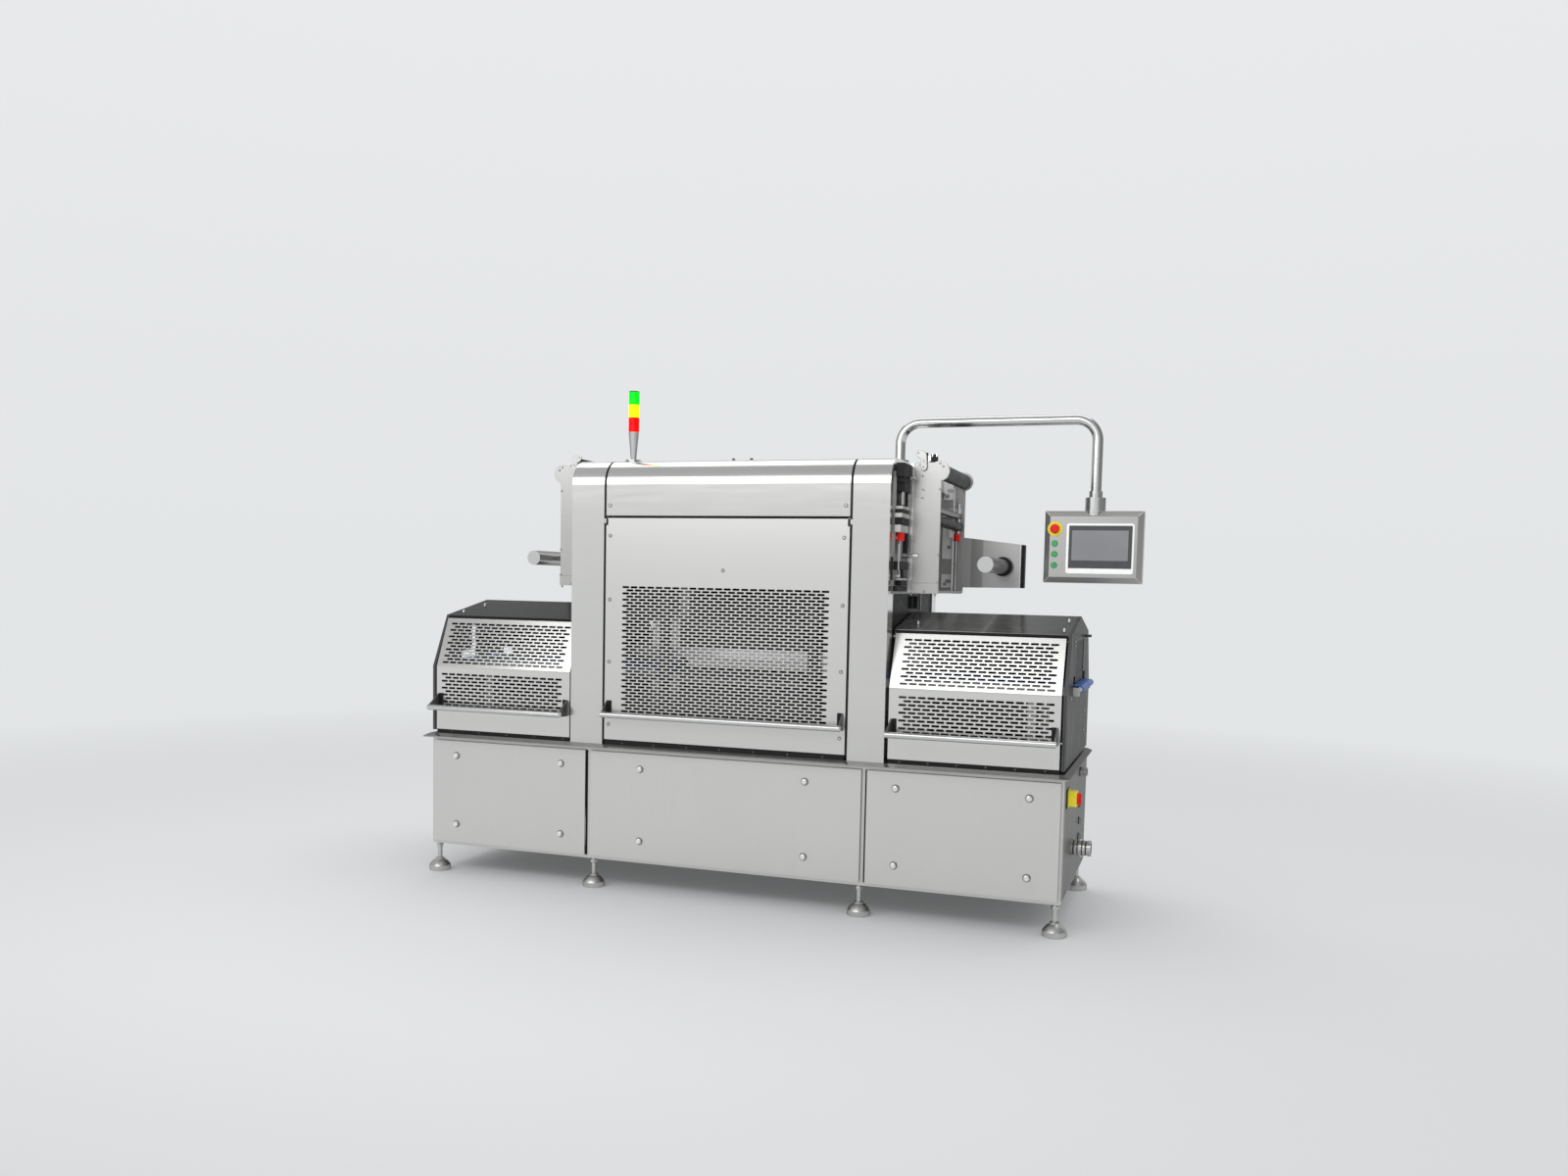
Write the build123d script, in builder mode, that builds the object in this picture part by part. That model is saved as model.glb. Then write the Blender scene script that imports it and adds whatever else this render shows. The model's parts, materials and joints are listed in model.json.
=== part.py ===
"""Tray sealer: a packaging line machine on a cabinet base, in millimetres.

The origin is the centre of the front left levelling foot's sole, +X is the
way the trays travel, +Y goes to the back and +Z up.
"""
import os
from math import atan2, cos, sin, tan

from build123d import *

# Base cabinet
base_length = 3200
base_depth = 980
tube_size = 50
frame_bottom = 144
frame_height = 556
door_proud = 12
door_sill = 15
door_head = 18
door_edge = 13
door_gap = 27
side_door_width = 870
knob_radius = 14
knob_height = 16
side_knob_inset = 135
middle_knob_inset = 270
knob_drop = 75
knob_rise = 95
end_panel_thickness = 4
end_panel_margin = 12

# Levelling feet
foot_pad_radius = 54
foot_neck_radius = 20
foot_pad_height = 60
foot_rim_height = 18
foot_stem_radius = 11
foot_nut_radius = 18
foot_nut_height = 14
foot_nut_drop = 10
inner_foot_offset = 683

# Deck with its drip edge, and the dark plinth on it
deck_thickness = 20
deck_rim_height = 6
deck_lip = 1
ledge_front = 57
ledge_end = 22
plinth_height = 14
plinth_end_inset = 60
plinth_side_inset = 13
plinth_hood_gap = 8

# Hood
hood_length = 1590
hood_overhang = 22
hood_above_film = 11
shoulder_radius = 120
column_width = 173
column_depth = 90
beam_depth = 60
inner_corner_radius = 40
cover_gap = 12
cover_thickness = 15
cover_drop = 269
lip_width = 32
lip_thickness = 10
rear_cover_thickness = 20

# Middle guard, hinged at its top
guard_sheet = 4
guard_frame_depth = 25
middle_guard_floor_gap = 11
hinge_pin_radius = 5
pin_clearance = 0.3
hinge_drop = 14
hinge_setback = 12
hinge_block_size = 24
hinge_block_corner = 4
hinge_block_setback = 2
hinge_side_clearance = 2
pin_reach = 16
end_clearance = 1
strip_setback = 42

# Field of openings in the middle guard, a plain grid between bars of one width
field_length = 1040
field_height = 616
field_rise = 134
field_bar = 36
field_columns = 8
field_rows = 6

# Infeed and outfeed guards, hinged under the roof's edge
guard_outer_gap = 8
guard_inner_gap = 14
guard_front_proud = 7.5
guard_floor_gap = 5
guard_rise = 323.6
slant_run = 101.5
slant_rise = 242.8
guard_depth = 20
guard_end_rim = 22
guard_edge_rim = 26
cut_over = 4
roof_edge_run = 122.5
roof_edge_rise = 15.9
roof_rise = 75.7
roof_thickness = 10
tunnel_wall = 15
tunnel_end_inset = 3
wall_flange_width = 90
wall_flange_thickness = 6
wall_flange_setback = 42
mouth_half_width = 166
mouth_sill = 40
mouth_height = 157
belt_slot_half_width = 262
belt_slot_drop = 50
guard_pin_along = 12
guard_pin_deep = 10
ear_radius = 11
ear_thickness = 6
ear_side_clearance = 4
ear_root = 30
ear_edge = 2
stop_peg_radius = 6.5
stop_peg_length = 30
stop_peg_offset = 215
stop_peg_drop = 21.3

# Handles
handle_radius = 14
handle_rise = 119
handle_reach = 85
handle_end_inset = 6
middle_handle_rise = 125
middle_handle_reach = 55
bracket_thickness = 8
bracket_rise = 66
bracket_drop = 16
bracket_trim = 2

# Conveyors
belt_width = 496
belt_thickness = 4
belt_rise = 370
nose_radius = 12
tail_radius = 25
belt_reach = 42
belt_inner_end = 452
bed_wall = 12
bed_clearance = 1
belt_clearance = 0.3
bed_drop = 8
bed_depth = 38
bed_leg_width = 40
bed_leg_inset = 160

# Sealing press inside the hood
press_column_radius = 28
press_column_offset_x = 385
press_column_offset_y = 300
crosshead_half_x = 430
crosshead_half_y = 345
lower_crosshead_drop = 230
crosshead_thickness = 40
crosshead_corner = 20
upper_crosshead_rise = 550
tool_half_x = 330
tool_half_y = 262
tool_corner = 15
lower_tool_drop = 4
tool_opening = 99
upper_tool_height = 145
ram_radius = 45
cylinder_radius = 95
cylinder_height = 200

# Film units at both ends of the hood
mount_plate_thickness = 8
mount_plate_inset = 72
mount_plate_below = 4
mount_plate_drop = 62
film_plate_inner = 51
film_plate_width = 131
film_plate_clearance = 91
film_plate_length = 599
film_plate_thickness = 10
film_half_span = 300
film_plate_corner = 12
lobe_radius = 46
lobe_inset = 9
lobe_drop = 39
stand_off_height = 60
stand_off_low_rise = 72
stand_off_high_drop = 102
hook_thickness = 8
hook_radius = 17
hook_reach = 40
hook_rise = 46
hook_drop = 58
arm_reach = 304
arm_depth = 45
arm_root_rise = 32
arm_root_height = 250
arm_tip_rise = 35
arm_tip_height = 213
roller_radius = 36
roller_end_gap = 6
journal_radius = 10
journal_inset = 2
tie_radius = 11
tie_inset = 22
light_roller_radius = 15
light_roller_drop = 175
dark_roller_radius = 22
dark_roller_drop = 51
fixed_roller_inset = 27
bottom_bar_width = 55
bottom_bar_thickness = 12
bottom_bar_rise = 2
adjuster_radius = 5
cap_radius = 15
cap_length = 30
cap_rise = 295
rear_adjuster_inset = 32
rear_adjuster_setback = 32
front_adjuster_offset = 15
front_adjuster_inset = 105
front_adjuster_rise = 72
lug_thickness = 10
lug_overhang = 4
spindle_radius = 12
spindle_rise = 172
spindle_reach = 32
regulator_radius = 26
regulator_length = 90
regulator_setout = 40
regulator_low_rise = 152
regulator_high_rise = 442

# Film shafts
shaft_radius = 37
shaft_length = 520
shaft_reach = 200
shaft_rise = 139
collar_radius = 50
collar_length = 22
shaft_side_clearance = 1
spigot_radius = 20

# Tower lamp
tower_x = 538
tower_setback = 140
tower_flange_radius = 38
tower_flange_height = 8
tower_stem_radius = 13
tower_neck_radius = 25
tower_stem_height = 143
lamp_radius = 26
lamp_height = 61
red_lamp_height = 70
lamp_cap_height = 6
lamp_groove = 2
lamp_groove_depth = 3

# Panel boom
boom_radius = 24
boom_rise = 208
boom_bend = 100
boom_reach = 932
boom_bottom_gap = 1
socket_radius = 42
socket_height = 30
boom_spigot_radius = 17
boom_spigot_length = 26
collar_narrow_radius = 30
collar_narrow_height = 30
collar_wide_radius = 46
collar_wide_height = 62

# Operator panel
panel_width = 444
panel_height = 331
panel_drop = 423
panel_depth = 112
panel_front_offset = 58
panel_bevel = 26
panel_bevel_depth = 20
panel_pin_radius = 18
panel_pin_length = 50
screen_width = 302
screen_height = 230
screen_corner = 6
screen_frame_proud = 5
screen_offset_x = 31.5
screen_offset_z = -7.5
button_column = 173
stop_height = 82
stop_ring_radius = 31
stop_ring_proud = 5
stop_radius = 21
stop_stem_radius = 10
stop_stem_length = 14
stop_cap_height = 12
stop_edge = 4
green_radius = 12
green_proud = 7
green_well_depth = 14
green_clearance = 0.6
green_heights = (15, -34, -85)
button_travel = 3

# Fittings on the base's right end
switch_inset = 94
switch_drop = 96
switch_plate_size = 86
switch_plate_thickness = 6
switch_plate_corner = 6
switch_block_size = 66
switch_block_depth = 36
switch_block_corner = 5
switch_knob_radius = 26
switch_knob_depth = 18
switch_bar_width = 12
switch_bar_inset = 2
switch_shaft_radius = 6
switch_shaft_depth = 12
port_inset = 328
port_rise = 196
port_radius = 31
port_length = 90
port_flange_radius = 36
port_flange_width = 10
port_middle_flange = 38
port_bore_radius = 26
port_bore_depth = 72
big_knob_radius = 20
big_knob_height = 35
big_knob_inset = 628
big_knob_drop = 50
end_knob_inset = 645
end_knob_rises = (346, 264, 187)

# Places that follow from the sizes above: along and across the machine
foot_inset = tube_size / 2
x_left = -foot_inset
x_right = x_left + base_length
x_mid = (x_left + x_right) / 2
y_front = -foot_inset
y_back = y_front + base_depth
y_mid = (y_front + y_back) / 2
hood_front = y_front - hood_overhang
hood_half = hood_length / 2
column_inner = hood_half - column_width
cover_half = column_inner - cover_gap
guard_front = y_front - guard_front_proud
wall_outer = base_length / 2 - tunnel_end_inset
wall_inner = wall_outer - tunnel_wall
guard_outer = wall_inner - guard_outer_gap
guard_inner = hood_half + guard_inner_gap
slant_angle = atan2(slant_run, slant_rise)
sides = {"infeed": -1, "outfeed": 1}

# Heights, each level standing on the one below it
frame_top = frame_bottom + frame_height
deck_top = frame_top + deck_thickness
plinth_top = deck_top + plinth_height
guard_bottom = plinth_top + guard_floor_gap
guard_bend = guard_bottom + guard_rise
slant_top = guard_bend + slant_rise
roof_edge = slant_top + roof_edge_rise
roof_ridge = roof_edge + roof_rise
film_plate_bottom = roof_ridge + film_plate_clearance
film_plate_top = film_plate_bottom + film_plate_length
hood_top = film_plate_top + hood_above_film
cover_bottom = hood_top - cover_drop
middle_guard_top = cover_bottom - cover_gap
middle_guard_bottom = plinth_top + middle_guard_floor_gap
belt_top = deck_top + belt_rise
mouth_bottom = belt_top + mouth_sill
mouth_top = mouth_bottom + mouth_height
belt_slot_bottom = belt_top - belt_slot_drop
lower_tool_top = belt_top - lower_tool_drop
upper_tool_bottom = lower_tool_top + tool_opening
upper_tool_top = upper_tool_bottom + upper_tool_height
lower_crosshead = belt_top - lower_crosshead_drop
upper_crosshead = belt_top + upper_crosshead_rise
shaft_height = film_plate_bottom + shaft_rise
boom_height = hood_top + boom_rise
panel_top = boom_height - panel_drop


def front_plane(y):
    """A plane facing the front, whose own x and y are the machine's X and Z."""
    return Plane(origin=(0, y, 0), x_dir=(1, 0, 0), z_dir=(0, -1, 0))


def end_plane(x):
    """A plane facing the outfeed end, whose own x and y are the machine's Y and Z."""
    return Plane(origin=(x, 0, 0), x_dir=(0, 1, 0), z_dir=(1, 0, 0))


def along_x(side, distance):
    """The X place at a distance from the middle, towards the infeed or outfeed."""
    return x_mid + side * distance


def save(part, name):
    """Label a finished piece and write it under its own name."""
    part.label = name
    export_step(part, f"parts/{name}.step")


def slab(x_span, y_span, z_span):
    """A plain block between two places on each axis."""
    x0, x1 = sorted(x_span)
    y0, y1 = sorted(y_span)
    z0, z1 = sorted(z_span)
    with BuildPart() as block:
        with BuildSketch(Plane.XY.offset(z0)):
            with Locations(((x0 + x1) / 2, (y0 + y1) / 2)):
                Rectangle(x1 - x0, y1 - y0)
        extrude(amount=z1 - z0)
    return block.part


def outline(points):
    """Fill the polygon through the points, in the sketch that is open."""
    Polygon(*points, align=None)


os.makedirs("parts", exist_ok=True)


# Base frame: posts above the feet, and rails round the bottom and top
post_places = [
    x_left + foot_inset, x_mid - inner_foot_offset, x_mid + inner_foot_offset, x_right - foot_inset]
rail_levels = (frame_bottom, frame_top - tube_size)

with BuildPart() as base_frame:
    with BuildSketch(Plane.XY.offset(frame_bottom)):
        for x in post_places:
            with Locations((x, y_front + foot_inset), (x, y_back - foot_inset)):
                Rectangle(tube_size, tube_size)
    extrude(amount=frame_top - frame_bottom)
    for level in rail_levels:
        with BuildSketch(Plane.XY.offset(level)):
            with Locations((x_mid, y_mid)):
                Rectangle(base_length, base_depth)
                Rectangle(base_length - 2 * tube_size, base_depth - 2 * tube_size, mode=Mode.SUBTRACT)
        extrude(amount=tube_size)
save(base_frame.part, "base_frame")


# Levelling feet: bell pads on threaded stems with lock nuts
with BuildPart() as foot:
    with BuildSketch(Plane.XZ):
        with BuildLine():
            Polyline(
                (0, 0), (foot_pad_radius, 0), (foot_pad_radius, foot_rim_height),
                (foot_neck_radius, foot_pad_height), (foot_stem_radius, foot_pad_height),
                (foot_stem_radius, frame_bottom), (0, frame_bottom), close=True)
        make_face()
    revolve(axis=Axis.Z)
    with BuildSketch(Plane.XY.offset(frame_bottom - foot_nut_drop - foot_nut_height)):
        RegularPolygon(foot_nut_radius, 6)
    extrude(amount=foot_nut_height)

with BuildPart() as levelling_feet:
    for x in post_places:
        with Locations((x, y_front + foot_inset), (x, y_back - foot_inset)):
            add(foot.part)
save(levelling_feet.part, "levelling_feet")


# Cabinet doors: folded pans held by quarter-turn knobs
door_bottom = frame_bottom + door_sill
door_top = frame_top - door_head
side_door_middle = base_length / 2 - door_edge - side_door_width / 2
middle_door_width = base_length - 2 * (door_edge + side_door_width + door_gap)
door_height = door_top - door_bottom
knob_levels = (door_bottom + knob_rise, door_top - knob_drop)


def cabinet_door(x_centre, width, knob_inset, y_seat, facing):
    """A door pan on a seat plane, facing the front (-1) or the back (+1)."""
    face = y_seat + facing * door_proud
    knob_offset = width / 2 - knob_inset
    knobs = [(x_centre + s * knob_offset, z) for s in (-1, 1) for z in knob_levels]
    with BuildPart() as door:
        with BuildSketch(front_plane(y_seat)):
            with Locations((x_centre, door_bottom + door_height / 2)):
                Rectangle(width, door_height)
        extrude(amount=-facing * door_proud)
        with BuildSketch(front_plane(face)):
            with Locations(*knobs):
                Circle(knob_radius)
        extrude(amount=-facing * knob_height)
    return door.part


door_rows = (
    (x_mid - side_door_middle, side_door_width, side_knob_inset),
    (x_mid, middle_door_width, middle_knob_inset),
    (x_mid + side_door_middle, side_door_width, side_knob_inset),
)
for name, y_seat, facing in (("front_doors", y_front, -1), ("rear_doors", y_back, 1)):
    with BuildPart() as doors:
        for x_centre, width, knob_inset in door_rows:
            add(cabinet_door(x_centre, width, knob_inset, y_seat, facing))
    save(doors.part, name)


# End panels of the cabinet, lying against the frame; the right one has its knobs
panel_half_depth = base_depth / 2 - end_panel_margin
panel_middle = (frame_bottom + frame_top) / 2
panel_rise = frame_top - frame_bottom - 2 * end_panel_margin

for name, side in sides.items():
    seat = along_x(side, base_length / 2)
    with BuildPart() as end_panel:
        with BuildSketch(end_plane(seat)):
            with Locations((y_mid, panel_middle)):
                Rectangle(2 * panel_half_depth, panel_rise)
        extrude(amount=side * end_panel_thickness)
        if side > 0:
            with BuildSketch(end_plane(seat + end_panel_thickness)):
                with Locations(*[(y_front + end_knob_inset, frame_bottom + rise) for rise in end_knob_rises]):
                    Circle(knob_radius)
            extrude(amount=knob_height)
            with BuildSketch(end_plane(seat + end_panel_thickness)):
                with Locations((y_front + big_knob_inset, frame_top - big_knob_drop)):
                    Circle(big_knob_radius)
            extrude(amount=big_knob_height)
    save(end_panel.part, f"{name}_cabinet_end")


# Exhaust port: a spigot with three flanges
port_seat = x_right + end_panel_thickness
port_y = y_front + port_inset
port_z = frame_bottom + port_rise
with BuildPart() as exhaust_port:
    with BuildSketch(end_plane(port_seat)):
        with Locations((port_y, port_z)):
            Circle(port_radius)
    extrude(amount=port_length)
    for start in (0, port_middle_flange, port_length - port_flange_width):
        with BuildSketch(end_plane(port_seat + start)):
            with Locations((port_y, port_z)):
                Circle(port_flange_radius)
        extrude(amount=port_flange_width)
    with BuildSketch(end_plane(port_seat + port_length)):
        with Locations((port_y, port_z)):
            Circle(port_bore_radius)
    extrude(amount=-port_bore_depth, mode=Mode.SUBTRACT)
save(exhaust_port.part, "exhaust_port")


# Main switch: a plate and block on the end panel, with a turning knob
block_face = port_seat + switch_plate_thickness + switch_block_depth
switch_y = y_front + switch_inset
switch_z = frame_top - switch_drop
with BuildPart() as switch_block:
    with BuildSketch(end_plane(port_seat)):
        with Locations((switch_y, switch_z)):
            RectangleRounded(switch_plate_size, switch_plate_size, switch_plate_corner)
    extrude(amount=switch_plate_thickness)
    with BuildSketch(end_plane(port_seat + switch_plate_thickness)):
        with Locations((switch_y, switch_z)):
            RectangleRounded(switch_block_size, switch_block_size, switch_block_corner)
    extrude(amount=switch_block_depth)
    with BuildSketch(end_plane(block_face)):
        with Locations((switch_y, switch_z)):
            Circle(switch_shaft_radius + pin_clearance)
    extrude(amount=-(switch_shaft_depth + end_clearance), mode=Mode.SUBTRACT)
save(switch_block.part, "switch_block")

with BuildPart() as switch_knob:
    with BuildSketch(end_plane(block_face + pin_clearance)):
        with Locations((switch_y, switch_z)):
            Circle(switch_knob_radius)
    extrude(amount=switch_knob_depth / 2)
    with BuildSketch(end_plane(block_face + pin_clearance + switch_knob_depth / 2)):
        with Locations((switch_y, switch_z)):
            Rectangle(switch_bar_width, 2 * (switch_knob_radius - switch_bar_inset))
    extrude(amount=switch_knob_depth / 2)
    with BuildSketch(end_plane(block_face + pin_clearance)):
        with Locations((switch_y, switch_z)):
            Circle(switch_shaft_radius)
    extrude(amount=-switch_shaft_depth)
save(switch_knob.part, "switch_knob")


# Deck: a slab whose drip edge slopes out and down on all four sides
with BuildPart() as deck:
    with BuildSketch(Plane.XY.offset(frame_top)):
        with Locations((x_mid, y_mid)):
            Rectangle(base_length + 2 * ledge_end, base_depth + 2 * ledge_front)
    extrude(amount=deck_rim_height)
    with BuildSketch(Plane.XY.offset(frame_top + deck_rim_height)):
        with Locations((x_mid, y_mid)):
            Rectangle(base_length + 2 * ledge_end, base_depth + 2 * ledge_front)
    with BuildSketch(Plane.XY.offset(deck_top)):
        with Locations((x_mid, y_mid)):
            Rectangle(base_length - 2 * deck_lip, base_depth + 2 * (hood_overhang + deck_lip))
    loft()
save(deck.part, "deck")


# Plinth: dark slabs between the deck and the guards, clear of the columns
plinth_y = (y_front + plinth_side_inset, y_back - plinth_side_inset)
plinth_outer = base_length / 2 - plinth_end_inset
with BuildPart() as plinth:
    for side in sides.values():
        spans = (along_x(side, hood_half + plinth_hood_gap), along_x(side, plinth_outer))
        add(slab(spans, plinth_y, (deck_top, plinth_top)))
    inner_half = column_inner - plinth_hood_gap
    add(slab((x_mid - inner_half, x_mid + inner_half), plinth_y, (deck_top, plinth_top)))
save(plinth.part, "plinth")


def hood_outline(half_width, top, bottom, corner):
    """A block outline in the machine's Y and Z, with two round top corners."""
    with BuildSketch() as block:
        with Locations((y_mid, (bottom + top) / 2)):
            Rectangle(2 * half_width, top - bottom)
        fillet(block.vertices().group_by(Axis.Y)[-1], corner)
    return block.sketch


def hood_section(inset, side_depth, top_depth, bottom, corner):
    """A hood-shaped band, set in from the hood's outside, down to a level."""
    half = y_mid - hood_front - inset
    top = hood_top - inset
    with BuildSketch() as band:
        add(hood_outline(half, top, bottom, shoulder_radius - inset))
        add(hood_outline(half - side_depth, top - top_depth, bottom, corner), mode=Mode.SUBTRACT)
    return band.sketch


# Hood arches: two columns and a beam each, with lips that carry the covers
# and blocks with pins that carry the middle guard
hinge_y = hood_front + hinge_setback
hinge_z = middle_guard_top - hinge_drop
lip_corner = shoulder_radius - cover_thickness - lip_thickness
for name, side in sides.items():
    with BuildPart() as arch:
        with BuildSketch(end_plane(along_x(side, hood_half))):
            add(hood_section(0, column_depth, beam_depth, deck_top, inner_corner_radius))
        extrude(amount=-side * column_width)
        with BuildSketch(end_plane(along_x(side, column_inner))):
            add(hood_section(cover_thickness, lip_thickness, lip_thickness, cover_bottom, lip_corner))
        extrude(amount=-side * lip_width)
        lip_x = (along_x(side, column_inner), along_x(side, column_inner - lip_width))
        strip_y = hood_front + strip_setback
        add(slab(lip_x, (strip_y, strip_y + lip_thickness), (plinth_top, cover_bottom)))
        rear_seat = 2 * y_mid - hood_front - rear_cover_thickness
        add(slab(lip_x, (rear_seat - lip_thickness, rear_seat), (plinth_top, cover_bottom)))
        with BuildSketch(end_plane(along_x(side, column_inner))):
            with Locations((hood_front + hinge_block_setback + hinge_block_size / 2, hinge_z)):
                RectangleRounded(hinge_block_size, hinge_block_size, hinge_block_corner)
        extrude(amount=-side * (cover_gap - hinge_side_clearance))
        with BuildSketch(end_plane(along_x(side, cover_half + hinge_side_clearance))):
            with Locations((hinge_y, hinge_z)):
                Circle(hinge_pin_radius)
        extrude(amount=-side * (pin_reach + hinge_side_clearance))
    save(arch.part, f"{name}_hood_arch")


# Top cover: bare front fascia, round shoulders and flat roof between the arches
with BuildPart() as top_cover:
    with BuildSketch(end_plane(x_mid - cover_half)):
        corner = shoulder_radius - cover_thickness
        add(hood_section(0, cover_thickness, cover_thickness, cover_bottom, corner))
    extrude(amount=2 * cover_half)
save(top_cover.part, "top_cover")


# Rear cover: a fixed pan between the rear columns
rear_face = 2 * y_mid - hood_front
with BuildPart() as rear_cover:
    with BuildSketch(front_plane(rear_face - rear_cover_thickness)):
        with Locations((x_mid, (middle_guard_bottom + middle_guard_top) / 2)):
            Rectangle(2 * cover_half, middle_guard_top - middle_guard_bottom)
    extrude(amount=-rear_cover_thickness)
    with BuildSketch(front_plane(rear_face - rear_cover_thickness)):
        with Locations((x_mid, (middle_guard_bottom + middle_guard_top) / 2)):
            Rectangle(2 * (cover_half - lip_width), middle_guard_top - middle_guard_bottom - 2 * lip_width)
    extrude(amount=-(rear_cover_thickness - guard_sheet), mode=Mode.SUBTRACT)
save(rear_cover.part, "rear_cover")


# Middle guard: a folded pan with a grid of openings, on two pins at its top corners
middle_rise = middle_guard_top - middle_guard_bottom
with BuildPart() as middle_guard:
    with BuildSketch(front_plane(hood_front)):
        with Locations((x_mid, middle_guard_bottom + middle_rise / 2)):
            Rectangle(2 * cover_half, middle_rise)
    extrude(amount=-guard_frame_depth)
    with BuildSketch(front_plane(hood_front + guard_sheet)):
        with Locations((x_mid, middle_guard_bottom + middle_rise / 2)):
            Rectangle(2 * (cover_half - lip_width), middle_rise - 2 * lip_width)
    extrude(amount=-guard_frame_depth, mode=Mode.SUBTRACT)
    column_pitch = field_length / field_columns
    row_pitch = field_height / field_rows
    with BuildSketch(front_plane(hood_front)):
        with Locations((x_mid, middle_guard_bottom + field_rise + field_height / 2)):
            with GridLocations(column_pitch, row_pitch, field_columns, field_rows):
                Rectangle(column_pitch - field_bar, row_pitch - field_bar)
    extrude(amount=-guard_frame_depth, mode=Mode.SUBTRACT)
    for side in sides.values():
        with BuildSketch(end_plane(along_x(side, cover_half))):
            with Locations((hinge_y, hinge_z)):
                Circle(hinge_pin_radius + pin_clearance)
        extrude(amount=-side * (pin_reach + end_clearance), mode=Mode.SUBTRACT)
save(middle_guard.part, "middle_guard")


def mirrored(points):
    """The same section points reflected to the back of the machine."""
    return [(2 * y_mid - y, z) for y, z in points]


def guard_points(inset, trim):
    """The guard's three outer points moved inward, with its ends trimmed."""
    miter = tan(slant_angle / 2)
    along = (sin(slant_angle), cos(slant_angle))
    inward = (cos(slant_angle), -sin(slant_angle))
    bottom = (guard_front + inset, guard_bottom + trim)
    bend = (guard_front + inset, guard_bend - inset * miter)
    top_y = guard_front + slant_run - trim * along[0] + inset * inward[0]
    top_z = slant_top - trim * along[1] + inset * inward[1]
    return [bottom, bend, (top_y, top_z)]


def guard_band(outer_inset, inner_inset, trim):
    """A closed section between two inward offsets of the guard's face."""
    return guard_points(outer_inset, trim) + guard_points(inner_inset, trim)[::-1]


slant_along = (sin(slant_angle), cos(slant_angle))
slant_inward = (cos(slant_angle), -sin(slant_angle))
guard_pin_y = guard_front + slant_run - guard_pin_along * slant_along[0] + guard_pin_deep * slant_inward[0]
guard_pin_z = slant_top - guard_pin_along * slant_along[1] + guard_pin_deep * slant_inward[1]

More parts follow.
